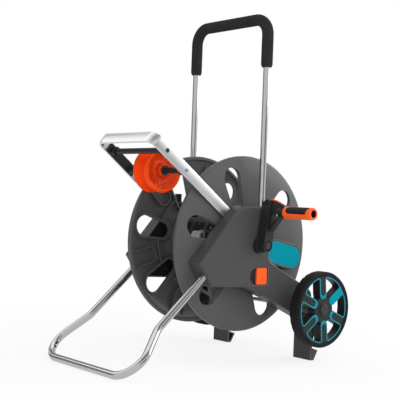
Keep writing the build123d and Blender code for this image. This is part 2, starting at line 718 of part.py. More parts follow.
def latch(side):
    """Orange button with an arm behind the handle tube and a nose that faces the tube's hole."""
    floor = HANDLE_X + TUBE_R + GAP + 1.2 + GAP
    low, high = LATCH_Z - LATCH_HEIGHT / 2, LATCH_Z + LATCH_HEIGHT / 2
    with BuildPart() as button:
        block((side * floor, LATCH_FRONT, low), (side * (COVER_OUT + 0.8), LATCH_REAR, high))
        fillet(button.edges().filter_by(Axis.X), 3)
        outer = button.faces().sort_by(Axis.X)[-1 if side > 0 else 0]
        fillet(outer.edges(), 1.2)
        block((side * 119, 28, LATCH_Z - 4.5), (side * (floor + 1), LATCH_ARM, LATCH_Z + 4.5))
        with BuildSketch(along(28 + 0.1, LATCH_Z)):
            with Locations((side * HANDLE_X, 0)):
                Circle(2.8)
        extrude(amount=28 + 0.1 - HANDLE_Y - TUBE_R - GAP)
    return button


def latch_spring(side):
    """Coil between the latch's arm and the post of the frame."""
    with BuildPart() as spring:
        foot_point = AXIS + Vector(side * HANDLE_X, LATCH_ARM + 0.8, LATCH_Z)
        with BuildLine() as coil:
            Helix(pitch=3.05, height=12.2, radius=3.2, center=foot_point, direction=(0, 1, 0))
        with BuildSketch(Plane(origin=coil.line @ 0, z_dir=coil.line % 0)):
            Circle(0.5)
        sweep(is_frenet=True)
    return spring


for name, side in SIDES.items():
    save(side_cover(side), f"{name}_side_cover")
    save(side_frame(side), f"{name}_side_frame")
    save(bearing_bush(side), f"{name}_bearing_bush")
    save(latch(side), f"{name}_latch")
    save(latch_spring(side), f"{name}_latch_spring")

with BuildPart() as cover_screws:
    for side in SIDES.values():
        for y, z in COVER_SCREWS:
            bar(side * FRAME_IN, side * 126, SCREW_R, y, z)
            bar(side * (FRAME_IN - 2.5), side * FRAME_IN, 4, y, z)
save(cover_screws, "cover_screws")

with BuildPart() as badge_plates:
    for side in SIDES.values():
        with BuildSketch(across(side * POD_FLOOR)):
            badge_outline(0)
            cover_outline_keepout(GAP)
        extrude(amount=side * BADGE_THICK)
save(badge_plates, "badge_plates")

with BuildPart() as latch_trays:
    for side in SIDES.values():
        with BuildSketch(across(tray_stop(side))):
            latch_window(3)
        extrude(amount=side * 1.2)
        block((side * 125, 27, LATCH_Z - 6), (side * 140, 38.2, LATCH_Z + 6), mode=Mode.SUBTRACT)
save(latch_trays, "latch_trays")

# Push handle: bent tube, foam sleeve and plugs
HANDLE_PLANE = along(HANDLE_Y)
DETENTS = (LATCH_Z, LATCH_Z + 75, LATCH_Z + 150)


def handle_path(foot):
    """Line of the push handle from one leg's foot over the top to the other's."""
    FilletPolyline((HANDLE_X, foot), (HANDLE_X, HANDLE_TOP), (-HANDLE_X, HANDLE_TOP), (-HANDLE_X, foot),
                   radius=HANDLE_BEND)


with BuildPart() as handle_tube:
    with BuildLine(HANDLE_PLANE):
        handle_path(HANDLE_FOOT)
    with BuildSketch(Plane(origin=AXIS + Vector(HANDLE_X, HANDLE_Y, HANDLE_FOOT))):
        Circle(TUBE_R)
        Circle(TUBE_BORE_R, mode=Mode.SUBTRACT)
    sweep()
    for side in SIDES.values():
        for z in DETENTS:
            with BuildSketch(along(HANDLE_Y, z)):
                with Locations((side * HANDLE_X, 0)):
                    Circle(3.4)
            extrude(amount=-TUBE_R - 2, mode=Mode.SUBTRACT)
save(handle_tube, "handle_tube")

with BuildPart() as foam_sleeve:
    with BuildLine(HANDLE_PLANE):
        handle_path(SLEEVE_FOOT)
    with BuildSketch(Plane(origin=AXIS + Vector(HANDLE_X, HANDLE_Y, SLEEVE_FOOT))):
        Circle(SLEEVE_R)
        Circle(TUBE_R + RUN, mode=Mode.SUBTRACT)
    sweep()
    sleeve_ends = foam_sleeve.edges().filter_by(GeomType.CIRCLE).group_by(Axis.Z)[0]
    chamfer(sleeve_ends.sort_by(SortBy.RADIUS)[-2:], 4, 2.5)
save(foam_sleeve, "foam_sleeve")

with BuildPart() as handle_plugs:
    for side in SIDES.values():
        upright(side * HANDLE_X, HANDLE_Y, HANDLE_FOOT - 3, HANDLE_FOOT, TUBE_R - 0.1)
        upright(side * HANDLE_X, HANDLE_Y, HANDLE_FOOT, HANDLE_FOOT + 12, TUBE_BORE_R - RUN)
save(handle_plugs, "handle_plugs")

# Front stand: one bent tube whose legs end in the side frames
STAND_PLANE = Plane(origin=AXIS + Vector(0, STAND_BAR_Y, STAND_BAR_Z), x_dir=(1, 0, 0),
                    z_dir=(0, -sin(radians(STAND_SLOPE)), cos(radians(STAND_SLOPE))))
with BuildPart() as stand_tube:
    with BuildLine(STAND_PLANE):
        FilletPolyline((STAND_X, STAND_END), (STAND_X, STAND_BEND), (STAND_CORNER_X, 0), (-STAND_CORNER_X, 0),
                       (-STAND_X, STAND_BEND), (-STAND_X, STAND_END), radius=[45, 49, 49, 45])
    with BuildSketch(stand_plane(1, STAND_END)):
        Circle(STAND_R)
        Circle(STAND_BORE_R, mode=Mode.SUBTRACT)
    sweep()
save(stand_tube, "stand_tube")

# Hose guide: bent strap with splayed legs, liners, two rods and the roller
GUIDE_IN = GUIDE_OUT - GUIDE_THICK
GUIDE_BAR = GUIDE_TOP - GUIDE_THICK / 2
GUIDE_CROWN = 1.3
TOP_ROD = guide_spot(TOP_ROD_T)
ROLLER_ROD = guide_spot(ROLLER_ROD_T)
PLUG_R = 4.5


def leg_inner(t):
    """X of a guide leg's inner face, t up the slope."""
    return GUIDE_IN + (GUIDE_BASE - GUIDE_OUT) * (GUIDE_BAR - t) / (GUIDE_BAR - GUIDE_KNEE)


TOP_ROD_END = leg_inner(TOP_ROD_T) - 0.5
ROLLER_ROD_END = leg_inner(ROLLER_ROD_T) - 0.5
with BuildPart() as guide_arm:
    half_thick = GUIDE_THICK / 2
    half_width = GUIDE_WIDTH / 2
    base_x = GUIDE_BASE - half_thick
    bar_x = GUIDE_OUT - half_thick
    with BuildLine(GUIDE_PLANE):
        FilletPolyline((base_x, GUIDE_END), (base_x, GUIDE_KNEE), (bar_x, GUIDE_BAR), (-bar_x, GUIDE_BAR),
                       (-base_x, GUIDE_KNEE), (-base_x, GUIDE_END), radius=[60, 17, 17, 60])
    strap_foot = GUIDE_PLANE.from_local_coords((base_x, GUIDE_END, 0))
    with BuildSketch(Plane(origin=strap_foot, x_dir=(-1, 0, 0), z_dir=GUIDE_DIR)):
        edge_x = half_thick - GUIDE_CROWN
        with BuildLine():
            Polyline((edge_x, half_width), (-half_thick, half_width), (-half_thick, -half_width),
                     (edge_x, -half_width))
            ThreePointArc((edge_x, -half_width), (half_thick, 0), (edge_x, half_width))
        make_face()
    sweep()
    for side in SIDES.values():
        bar(side * 90, side * 110, PLUG_R + RUN, *TOP_ROD, mode=Mode.SUBTRACT)
        bar(side * 90, side * 110, RIVET_R + RUN, *ROLLER_ROD, mode=Mode.SUBTRACT)
        for t in RIVET_T:
            bar(side * 90, side * 110, RIVET_R + RUN, *guide_spot(t), mode=Mode.SUBTRACT)
save(guide_arm, "guide_arm")

LINER_THICK = 3.0
LINER_FROM, LINER_TO = 238.0, 330.0
SOCKET_R = 10.5
SOCKET_IN = 82.0


def guide_liner(side):
    """Liner on the inner face of one guide leg, with a socket for each rod."""
    low, high = leg_inner(LINER_FROM) - RUN, leg_inner(LINER_TO) - RUN
    with BuildPart() as liner:
        with BuildSketch(GUIDE_PLANE):
            with BuildLine():
                Polyline((-side * low, LINER_FROM), (-side * high, LINER_TO),
                         (-side * (high - LINER_THICK), LINER_TO), (-side * (low - LINER_THICK), LINER_FROM),
                         close=True)
            make_face()
        extrude(amount=GUIDE_WIDTH / 2 - 2, both=True)
        for spot, rod_end in ((TOP_ROD, TOP_ROD_END), (ROLLER_ROD, ROLLER_ROD_END)):
            bar(side * SOCKET_IN, side * (rod_end - 0.5), SOCKET_R, *spot)
            bar(side * (SOCKET_IN - 1), side * (rod_end + 2), ROD_R + RUN, *spot, mode=Mode.SUBTRACT)
    return liner


for name, side in SIDES.items():
    save(guide_liner(side), f"{name}_guide_liner")

with BuildPart() as guide_top_rod:
    bar(-TOP_ROD_END, TOP_ROD_END, ROD_R, *TOP_ROD)
save(guide_top_rod, "guide_top_rod")

with BuildPart() as roller_rod:
    bar(-ROLLER_ROD_END, ROLLER_ROD_END, ROD_R, *ROLLER_ROD)
save(roller_rod, "roller_rod")

with BuildPart() as guide_plugs:
    for side in SIDES.values():
        bar(side * TOP_ROD_END, side * (TOP_ROD_END + GUIDE_THICK + 1), PLUG_R, *TOP_ROD)
save(guide_plugs, "guide_plugs")

with BuildPart() as guide_rivets:
    for side in SIDES.values():
        rivet_face = ROLLER_ROD_END + GUIDE_THICK + 0.65
        bar(side * ROLLER_ROD_END, side * rivet_face, RIVET_R, *ROLLER_ROD)
        bar(side * rivet_face, side * (rivet_face + 1.2), RIVET_R + 1.3, *ROLLER_ROD)
        leg_face = GUIDE_BASE - GUIDE_THICK
        for t in RIVET_T:
            bar(side * (leg_face - 1.8), side * leg_face, RIVET_R + 1.8, *guide_spot(t))
            bar(side * leg_face, side * FRAME_OUT, RIVET_R, *guide_spot(t))
            bar(side * FRAME_OUT, side * (FRAME_OUT + 1.8), RIVET_R + 1.8, *guide_spot(t))
save(guide_rivets, "guide_rivets")

ROLLER_BUSH_R = 9.0
with BuildPart() as roller_bush:
    tube(-ROLLER_HALF - 2.5, ROLLER_HALF + 2.5, ROLLER_BUSH_R, ROD_R + RUN, *ROLLER_ROD)
    for side in SIDES.values():
        tube(side * (ROLLER_HALF + GAP), side * (ROLLER_HALF + 2.5), 11.5, ROD_R + RUN, *ROLLER_ROD)
save(roller_bush, "roller_bush")

ROLLER_PROFILE = [
    (0, ROLLER_BUSH_R + RUN), (ROLLER_HALF, ROLLER_BUSH_R + RUN), (ROLLER_HALF, 13), (13, 15.5), (10, 23),
    (13, 31), (19, 37.5), (24, 42), (25.4, 45.2), (24.2, 48.2), (21, ROLLER_R), (16, 49), (7, 38.5),
    (0, 34.5),
]


def roller_half(side):
    """One flared half of the spool roller, dished at its end."""
    with BuildPart() as half:
        turn([(side * x, r) for x, r in ROLLER_PROFILE], *ROLLER_ROD)
    return half


for name, side in SIDES.items():
    save(roller_half(side), f"{name}_roller_half")

# Axle, wheels and rear feet
HUB_IN = 178.0
HUB_FACE = 208.5
DISC_IN = 186.0
RIM_R = 77.0
HUB_R = 30.0
TRIM_FACE = 207.5
TRIM_THICK = 0.9
TRIM_WIDTH = 2.2
TRIM_R = 76.0
FINGER_HALF = 10.3
FINGER_AT = 35.3
TIP_FILL = 5.0
CORNER_R = 4.0
SPOKE_FIRST = 35.0
with BuildPart() as wheel_axle:
    bar(-AXLE_HALF, AXLE_HALF, AXLE_R, AXLE_Y, AXLE_Z)
save(wheel_axle, "wheel_axle")

with BuildPart() as axle_hardware:
    for side in SIDES.values():
        tube(side * (HUB_FACE + 0.4), side * (HUB_FACE + 1.5), 8, AXLE_R, AXLE_Y, AXLE_Z)
        tube(side * 172, side * (HUB_IN - GAP), 9, AXLE_R + RUN, AXLE_Y, AXLE_Z)
save(axle_hardware, "axle_hardware")


def finger(half, foot, angle, mode):
    """Round-ended bar along one spoke, from its foot near the hub out past the rim."""
    with PolarLocations(foot, 1, start_angle=angle):
        Circle(half, mode=mode)
    with PolarLocations(foot + 40, 1, start_angle=angle):
        Rectangle(80, 2 * half, mode=mode)


def between_spokes(rim, half, foot, corner):
    """Face of the wheel inside a rim circle and outside six fingers, with round corners at the rim."""
    with BuildSketch(mode=Mode.PRIVATE) as area:
        Circle(rim)
        for spoke in range(SPOKES):
            finger(half, foot, SPOKE_FIRST + spoke * 360 / SPOKES, Mode.SUBTRACT)
        fillet([v for v in area.vertices() if Vector(v.X, v.Y, 0).length > rim - 1], corner)
    return area.sketch


def wheel_disc(side):
    """Moulded wheel with hub, six deep spokes and rim."""
    holes = between_spokes(TRIM_R - TRIM_WIDTH - 0.4, FINGER_HALF + 0.4, FINGER_AT, CORNER_R - 0.4)
    with BuildPart() as disc:
        turn([(side * x, r) for x, r in [
            (HUB_IN, AXLE_R + RUN), (HUB_IN, 12), (DISC_IN, 15), (DISC_IN, 27), (TRIM_FACE, 27),
            (TRIM_FACE, 16),
            (HUB_FACE, 15), (HUB_FACE, AXLE_R + RUN)]], AXLE_Y, AXLE_Z)
        with BuildSketch(mode=Mode.PRIVATE) as openings:
            add(holes)
            Circle(HUB_R, mode=Mode.SUBTRACT)
        with BuildSketch(across(side * DISC_IN, AXLE_Y, AXLE_Z)):
            Circle(RIM_R)
            add(openings.sketch, mode=Mode.SUBTRACT)
            Circle(26, mode=Mode.SUBTRACT)
        extrude(amount=side * (TRIM_FACE - DISC_IN))
    return disc


def wheel_trim(side):
    """Raised coloured line that runs along the rim and round every spoke, with one spoke filled."""
    outside = between_spokes(TRIM_R, FINGER_HALF - TRIM_WIDTH, FINGER_AT + TIP_FILL, CORNER_R + TRIM_WIDTH)
    inside = between_spokes(TRIM_R - TRIM_WIDTH, FINGER_HALF, FINGER_AT, CORNER_R)
    with BuildSketch(mode=Mode.PRIVATE) as filled:
        finger(FINGER_HALF - 1, FINGER_AT, SPOKE_FIRST, Mode.ADD)
        Circle(TRIM_R - 1, mode=Mode.INTERSECT)
    with BuildPart() as trim:
        with BuildSketch(across(side * TRIM_FACE, AXLE_Y, AXLE_Z)):
            add(outside)
            add(inside, mode=Mode.SUBTRACT)
            add(filled.sketch)
        extrude(amount=side * TRIM_THICK)
    return trim


def tyre(side):
    """Solid tyre with a square outer shoulder and tread blocks along the inner one."""
    with BuildPart() as ring:
        turn([(side * x, r) for x, r in [
            (187, RIM_R), (WHEEL_IN, 79), (WHEEL_IN, 83), (183.5, WHEEL_R - 0.8), (186, WHEEL_R),
            (206, WHEEL_R),
            (208.6, 85.9), (WHEEL_OUT, 83.6), (WHEEL_OUT, 79), (208, RIM_R)]], AXLE_Y, AXLE_Z)
        with BuildSketch(across(side * (WHEEL_IN - 1), AXLE_Y, AXLE_Z)):
            with PolarLocations(WHEEL_R + 1, TREAD_BLOCKS):
                Rectangle(8, 6)
        extrude(amount=side * 8, mode=Mode.SUBTRACT)
    return ring


def hub_cap(side):
    """Flat cap over the end of the axle."""
    with BuildPart() as cap:
        turn([(side * x, r) for x, r in [
            (HUB_FACE, 13), (HUB_FACE + 2, 13), (HUB_CAP_OUT, 11.5), (HUB_CAP_OUT, 0), (HUB_FACE + 2.1, 0),
            (HUB_FACE + 2.1, 9.3), (HUB_FACE, 9.3)]], AXLE_Y, AXLE_Z)
    return cap


SOLE = -AXIS_HEIGHT
FOOT_IN, FOOT_OUT = 115.0, 170.0
FOOT_FRONT = 150.0
FOOT_HEEL = [(FOOT_FRONT, SOLE), (FOOT_FRONT + 11, SOLE), (FOOT_FRONT + 24, -246), (FOOT_FRONT, -238)]
FOOT_WEB = [
    (FOOT_FRONT + 3, -240),
    (FOOT_FRONT + 3, -150),
    (FOOT_FRONT + 11, -155),
    (FOOT_FRONT + 11, -200),
]
FOOT_HOLLOW = [(FOOT_FRONT + 4, SOLE + 4), (FOOT_FRONT + 9, SOLE + 4), (FOOT_FRONT + 19, -247.5),
               (FOOT_FRONT + 4, -243)]


def foot(side):
    """Rear foot on the axle: front plate, hollow heel and hanger boss."""
    with BuildPart() as shoe:
        prism(FOOT_HEEL, side * FOOT_IN, side * FOOT_OUT)
        block((side * FOOT_IN, FOOT_FRONT, -240), (side * FOOT_OUT, FOOT_FRONT + 4, -180))
        block((side * 138.5, FOOT_FRONT, -182), (side * FOOT_OUT, FOOT_FRONT + 4, AXLE_Z))
        for x in (141, FOOT_OUT - 2):
            prism(FOOT_WEB, side * (x - 2), side * (x + 2))
        bar(side * COVER_OUT, side * 172, 14, AXLE_Y, AXLE_Z)
        prism(FOOT_HOLLOW, side * (FOOT_IN - 1), side * (FOOT_OUT - 4), mode=Mode.SUBTRACT)
        bar(side * (COVER_OUT - 1), side * 173, AXLE_R + RUN, AXLE_Y, AXLE_Z, mode=Mode.SUBTRACT)
    return shoe


for name, side in SIDES.items():
    save(wheel_disc(side), f"{name}_wheel_disc")
    save(wheel_trim(side), f"{name}_wheel_trim")
    save(tyre(side), f"{name}_tyre")
    save(hub_cap(side), f"{name}_hub_cap")
    save(foot(side), f"{name}_foot")

# Water inlet on the side away from the crank
ELBOW_X = -153.0
ELBOW_IN = -139.5
with BuildPart() as inlet_elbow:
    bar(ELBOW_IN, -166, 13.5)
    upright(ELBOW_X, 0, 0, 58, 10.5)
    upright(ELBOW_X, 0, 58, 64, 13)
    upright(ELBOW_X, 0, 64, 84, 8.6)
    upright(ELBOW_X, 0, 84, 90, 9.6)
    upright(ELBOW_X, 0, 90, 108, 8.2)
    upright(ELBOW_X, 0, 0, 110, WATER_BORE_R, mode=Mode.SUBTRACT)
    bar(ELBOW_IN + 1, WATER_FROM - 0.5, SHAFT_R + RUN, mode=Mode.SUBTRACT)
    bar(ELBOW_IN - 4, ELBOW_IN - 7, 10.3, mode=Mode.SUBTRACT)
save(inlet_elbow, "inlet_elbow")

with BuildPart() as inlet_seal:
    tube(ELBOW_IN - 4.1, ELBOW_IN - 6.9, 10.2, SHAFT_R + RUN)
save(inlet_seal, "inlet_seal")
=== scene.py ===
"""Garden hose reel cart: finishes, soft and moulded detail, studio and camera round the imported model."""

from __future__ import annotations

import logging
import math
from dataclasses import dataclass
from enum import Enum
from typing import Any, Iterable, Mapping, Protocol

import bmesh
import bpy
from mathutils import Matrix, Vector

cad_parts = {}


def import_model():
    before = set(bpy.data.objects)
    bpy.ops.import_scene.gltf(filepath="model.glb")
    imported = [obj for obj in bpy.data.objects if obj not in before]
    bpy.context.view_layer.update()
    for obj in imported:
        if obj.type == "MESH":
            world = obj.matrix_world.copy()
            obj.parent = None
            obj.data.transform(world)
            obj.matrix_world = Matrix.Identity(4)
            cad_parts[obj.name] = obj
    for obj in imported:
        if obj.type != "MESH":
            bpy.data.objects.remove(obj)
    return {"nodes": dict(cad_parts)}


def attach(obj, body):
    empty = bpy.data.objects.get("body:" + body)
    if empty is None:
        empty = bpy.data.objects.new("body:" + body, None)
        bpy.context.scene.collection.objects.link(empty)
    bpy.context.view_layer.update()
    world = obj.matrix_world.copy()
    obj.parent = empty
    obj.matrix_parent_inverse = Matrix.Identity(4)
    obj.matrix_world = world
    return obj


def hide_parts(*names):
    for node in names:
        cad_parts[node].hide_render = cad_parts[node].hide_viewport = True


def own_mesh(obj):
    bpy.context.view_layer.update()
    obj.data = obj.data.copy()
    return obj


LOG = logging.getLogger("hose_cart")
Ring = list[bmesh.types.BMEdge]

MM = 0.001
# The middle of the reel axis in the frame, from which spot() measures.
AXIS_MM = Vector((-38.0, 70.9, 268.0))
SIDES = {"right": 1.0, "left": -1.0}
# The push handle's legs stand this far to each side, with a latch behind each.
LEG_X = 123.0
# The hose guide's strap rises towards the front at this angle.
GUIDE_SLOPE_DEG = 37.0
# Faces that meet at less than this angle are shaded as one.
SMOOTH_DEG = 40.0
MERGE_MM = 0.001
BEVEL_SAMPLES = 4
# Cosine of the turn at which an edge starts to turn paler, and at which it is palest; the pale edge is
# partly wear and partly a painted highlight.
WEAR_AND_HIGHLIGHT_START, WEAR_AND_HIGHLIGHT_FULL = 0.995, 0.86


def spot(x: float, y: float, z: float) -> Vector:
    """Place a point given in mm from the middle of the reel axis.

    Args:
        x: Along the reel axis, towards the crank.
        y: Towards the wheels.
        z: Upwards.

    Returns:
        The point in the frame, in metres.
    """
    return (AXIS_MM + Vector((x, y, z))) * MM


def outward(bearing_deg: float, elevation_deg: float) -> Vector:
    """Give the direction that leaves the cart at a bearing and an elevation.

    Args:
        bearing_deg: Round the cart from its front, towards the crank.
        elevation_deg: Upwards.

    Returns:
        A unit vector.
    """
    bearing, rise = math.radians(bearing_deg), math.radians(elevation_deg)
    return Vector((math.sin(bearing) * math.cos(rise), -math.cos(bearing) * math.cos(rise), math.sin(rise)))


def linear(hex_colour: str) -> tuple[float, float, float, float]:
    """Turn an sRGB hex value into a linear colour.

    Args:
        hex_colour: Colour as "#RRGGBB".

    Returns:
        Linear red, green and blue, with an alpha of 1.
    """
    parts = [int(hex_colour[i:i + 2], 16) / 255 for i in (1, 3, 5)]
    red, green, blue = (c / 12.92 if c <= 0.04045 else ((c + 0.055) / 1.055) ** 2.4 for c in parts)
    return red, green, blue, 1.0


def per_metre(size_mm: float) -> float:
    """Give a texture scale whose features are size_mm across."""
    return 1.0 / (size_mm * MM)


def add_node(
    tree: bpy.types.NodeTree,
    kind: str,
    settings: Mapping[str, Any] | None = None,
    inputs: Mapping[str | int, Any] | None = None,
) -> bpy.types.Node:
    """Add one shader node.

    Args:
        tree: Tree that takes the node.
        kind: Node class, such as "ShaderNodeBump".
        settings: Node attributes by name.
        inputs: Values, or output sockets to link, by the input's name or number.

    Returns:
        The new node.
    """
    node = tree.nodes.new(kind)
    for key, value in (settings or {}).items():
        setattr(node, key, value)
    for key, value in (inputs or {}).items():
        if isinstance(value, bpy.types.NodeSocket):
            tree.links.new(value, node.inputs[key])
        else:
            node.inputs[key].default_value = value
    return node


def blank_material(name: str) -> tuple[bpy.types.Material, bpy.types.NodeTree]:
    """Make an empty node material.

    Args:
        name: The material's name.

    Returns:
        The material and its node tree.
    """
    material = bpy.data.materials.new(name)
    material.use_nodes = True
    material.node_tree.nodes.clear()
    return material, material.node_tree


class Finish(Protocol):
    """A surface finish that can make its own material."""

    @property
    def name(self) -> str:
        """Give the material's name."""

    def make(self) -> bpy.types.Material:
        """Build the node material."""


@dataclass(frozen=True)
class MouldedPlastic:
    """Injection-moulded plastic: an eroded mould leaves a fine grain, and edges turn paler, partly as
    handling wear and partly as a painted highlight.
    """

    name: str
    shade: str
    light: str
    edge: str
    roughness: float
    grain_mm: float = 3.0
    grain_depth: float = 0.12
    grain_lift_mm: float = 0.4
    sheen_spread: float = 0.06
    cloud_mm: float = 70.0
    edge_mm: float = 1.0
    wear_and_highlight: float = 0.55
    ior: float = 1.5
    specular: float = 0.25

    def make(self) -> bpy.types.Material:
        """Build the node material.

        Returns:
            The plastic, with grain, faint flow clouds, and edges painted paler as wear and as a painted
            highlight.
        """
        material, tree = blank_material(self.name)
        coord = add_node(tree, "ShaderNodeTexCoord").outputs["Object"]
        soft = add_node(tree, "ShaderNodeBevel", {"samples": BEVEL_SAMPLES}, {
            "Radius": self.edge_mm * MM}).outputs["Normal"]
        flat = add_node(tree, "ShaderNodeNewGeometry").outputs["Normal"]
        turn = add_node(tree, "ShaderNodeVectorMath", {"operation": "DOT_PRODUCT"}, {0: soft, 1: flat})
        # Pale edge colour: partly wear, partly a painted highlight where edges would catch the light.
        wear_and_highlight_mask = add_node(tree, "ShaderNodeMapRange", None, {
            "Value": turn.outputs["Value"], "From Min": WEAR_AND_HIGHLIGHT_START, "From Max": WEAR_AND_HIGHLIGHT_FULL,
            "To Min": 0.0, "To Max": self.wear_and_highlight})
        cloud = add_node(tree, "ShaderNodeTexNoise", None, {
            "Vector": coord, "Scale": per_metre(self.cloud_mm), "Detail": 3.0, "Roughness": 0.55})
        body = add_node(tree, "ShaderNodeMix", {"data_type": "RGBA"}, {
            0: cloud.outputs["Fac"], 6: linear(self.shade), 7: linear(self.light)})
        colour = add_node(tree, "ShaderNodeMix", {"data_type": "RGBA"}, {
            0: wear_and_highlight_mask.outputs["Result"], 6: body.outputs[2], 7: linear(self.edge)})
        # The real grain is about 0.2 mm, drawn coarser so that it shows at this distance.
        grain = add_node(tree, "ShaderNodeTexNoise", None, {
            "Vector": coord, "Scale": per_metre(self.grain_mm), "Detail": 4.0, "Roughness": 0.6})
        bump = add_node(tree, "ShaderNodeBump", None, {
            "Strength": self.grain_depth, "Distance": self.grain_lift_mm * MM,
            "Height": grain.outputs["Fac"], "Normal": soft})
        sheen = add_node(tree, "ShaderNodeMapRange", None, {
            "Value": grain.outputs["Fac"], "From Min": 0.3, "From Max": 0.7,
            "To Min": self.roughness - self.sheen_spread, "To Max": self.roughness + self.sheen_spread})
        shader = add_node(tree, "ShaderNodeBsdfPrincipled", None, {
            "Base Color": colour.outputs[2], "Roughness": sheen.outputs["Result"], "IOR": self.ior,
            "Specular IOR Level": self.specular, "Normal": bump.outputs["Normal"]})
        add_node(tree, "ShaderNodeOutputMaterial", None, {"Surface": shader.outputs["BSDF"]})
        return material


@dataclass(frozen=True)
class PlatedTube:
    """Bright chromium on drawn steel tube: mirror-like, with faint marks and dull patches."""

    name: str
    colour: str
    roughness: float
    mark_mm: float = 2.0
    mark_depth: float = 0.03
    mark_lift_mm: float = 0.1
    patch_mm: float = 45.0
    patch_dulling: float = 0.1

    def make(self) -> bpy.types.Material:
        """Build the node material.

        Returns:
            The plated metal, a little duller in soft patches.
        """
        material, tree = blank_material(self.name)
        coord = add_node(tree, "ShaderNodeTexCoord").outputs["Object"]
        patch = add_node(tree, "ShaderNodeTexNoise", None, {
            "Vector": coord, "Scale": per_metre(self.patch_mm), "Detail": 4.0})
        dull = add_node(tree, "ShaderNodeMapRange", None, {
            "Value": patch.outputs["Fac"], "From Min": 0.35, "From Max": 0.75,
            "To Min": self.roughness, "To Max": self.roughness + self.patch_dulling})
        # Drawing leaves marks of under 0.1 mm, drawn coarser so that they show.
        marks = add_node(tree, "ShaderNodeTexNoise", None, {
            "Vector": coord, "Scale": per_metre(self.mark_mm), "Detail": 2.0})
        bump = add_node(tree, "ShaderNodeBump", None, {
            "Strength": self.mark_depth, "Distance": self.mark_lift_mm * MM,
            "Height": marks.outputs["Fac"]})
        shader = add_node(tree, "ShaderNodeBsdfPrincipled", None, {
            "Base Color": linear(self.colour), "Metallic": 1.0, "Roughness": dull.outputs["Result"],
            "Normal": bump.outputs["Normal"]})
        add_node(tree, "ShaderNodeOutputMaterial", None, {"Surface": shader.outputs["BSDF"]})
        return material


@dataclass(frozen=True)
class BrushedStrap:
    """Anodised aluminium strap, brushed along its length.

    Fine streaks run down the legs and along the crossbar.
    """

    name: str
    dark: str
    light: str
    roughness: float
    slope_deg: float
    streak_mm: float = 2.0
    run_mm: float = 160.0
    streak_depth: float = 0.02
    streak_lift_mm: float = 0.2
    edge_mm: float = 1.2

    def make(self) -> bpy.types.Material:
        """Build the node material.

        Returns:
            The brushed metal.
        """
        material, tree = blank_material(self.name)
        coord = add_node(tree, "ShaderNodeTexCoord")
        fine, long = per_metre(self.streak_mm), per_metre(self.run_mm)
        # Brush marks are about 0.2 mm apart, drawn wider so that they show.
        legs = add_node(tree, "ShaderNodeMapping", {"vector_type": "TEXTURE"}, {
            "Vector": coord.outputs["Object"], "Rotation": (math.radians(-self.slope_deg), 0.0, 0.0),
            "Scale": (1 / fine, 1 / long, 1 / fine)})
        bar = add_node(tree, "ShaderNodeMapping", {"vector_type": "TEXTURE"}, {
            "Vector": coord.outputs["Object"], "Scale": (1 / long, 1 / fine, 1 / fine)})
        normal = add_node(tree, "ShaderNodeSeparateXYZ", None, {0: coord.outputs["Normal"]})
        side = add_node(tree, "ShaderNodeMath", {"operation": "ABSOLUTE"}, {0: normal.outputs["X"]})
        leg_streak = add_node(tree, "ShaderNodeTexNoise", None, {
            "Vector": legs.outputs["Vector"], "Scale": 1.0})
        bar_streak = add_node(tree, "ShaderNodeTexNoise", None, {
            "Vector": bar.outputs["Vector"], "Scale": 1.0})
        streak = add_node(tree, "ShaderNodeMix", {"data_type": "FLOAT"}, {
            0: side.outputs["Value"], 2: bar_streak.outputs["Fac"], 3: leg_streak.outputs["Fac"]})
        colour = add_node(tree, "ShaderNodeMix", {"data_type": "RGBA"}, {
            0: streak.outputs[0], 6: linear(self.dark), 7: linear(self.light)})
        rough = add_node(tree, "ShaderNodeMapRange", None, {
            "Value": streak.outputs[0], "From Min": 0.3, "From Max": 0.7,
            "To Min": self.roughness - 0.05, "To Max": self.roughness + 0.08})
        soft = add_node(tree, "ShaderNodeBevel", {"samples": BEVEL_SAMPLES}, {"Radius": self.edge_mm * MM})
        bump = add_node(tree, "ShaderNodeBump", None, {
            "Strength": self.streak_depth, "Distance": self.streak_lift_mm * MM,
            "Height": streak.outputs[0], "Normal": soft.outputs["Normal"]})
        shader = add_node(tree, "ShaderNodeBsdfPrincipled", None, {
            "Base Color": colour.outputs[2], "Metallic": 1.0, "Roughness": rough.outputs["Result"],
            "Normal": bump.outputs["Normal"]})
        add_node(tree, "ShaderNodeOutputMaterial", None, {"Surface": shader.outputs["BSDF"]})
        return material


@dataclass(frozen=True)
class TurnedSteel:
    """Zinc-plated steel hardware: dull metal with a faint grey bloom."""

    name: str
    dark: str
    light: str
    roughness: float
    bloom_mm: float = 6.0

    def make(self) -> bpy.types.Material:
        """Build the node material.

        Returns:
            The dull steel.
        """
        material, tree = blank_material(self.name)
        coord = add_node(tree, "ShaderNodeTexCoord").outputs["Object"]
        bloom = add_node(tree, "ShaderNodeTexNoise", None, {
            "Vector": coord, "Scale": per_metre(self.bloom_mm), "Detail": 5.0})
        colour = add_node(tree, "ShaderNodeMix", {"data_type": "RGBA"}, {
            0: bloom.outputs["Fac"], 6: linear(self.dark), 7: linear(self.light)})
        rough = add_node(tree, "ShaderNodeMapRange", None, {
            "Value": bloom.outputs["Fac"],
            "To Min": self.roughness - 0.08, "To Max": self.roughness + 0.12})
        shader = add_node(tree, "ShaderNodeBsdfPrincipled", None, {
            "Base Color": colour.outputs[2], "Metallic": 1.0, "Roughness": rough.outputs["Result"]})
        add_node(tree, "ShaderNodeOutputMaterial", None, {"Surface": shader.outputs["BSDF"]})
        return material


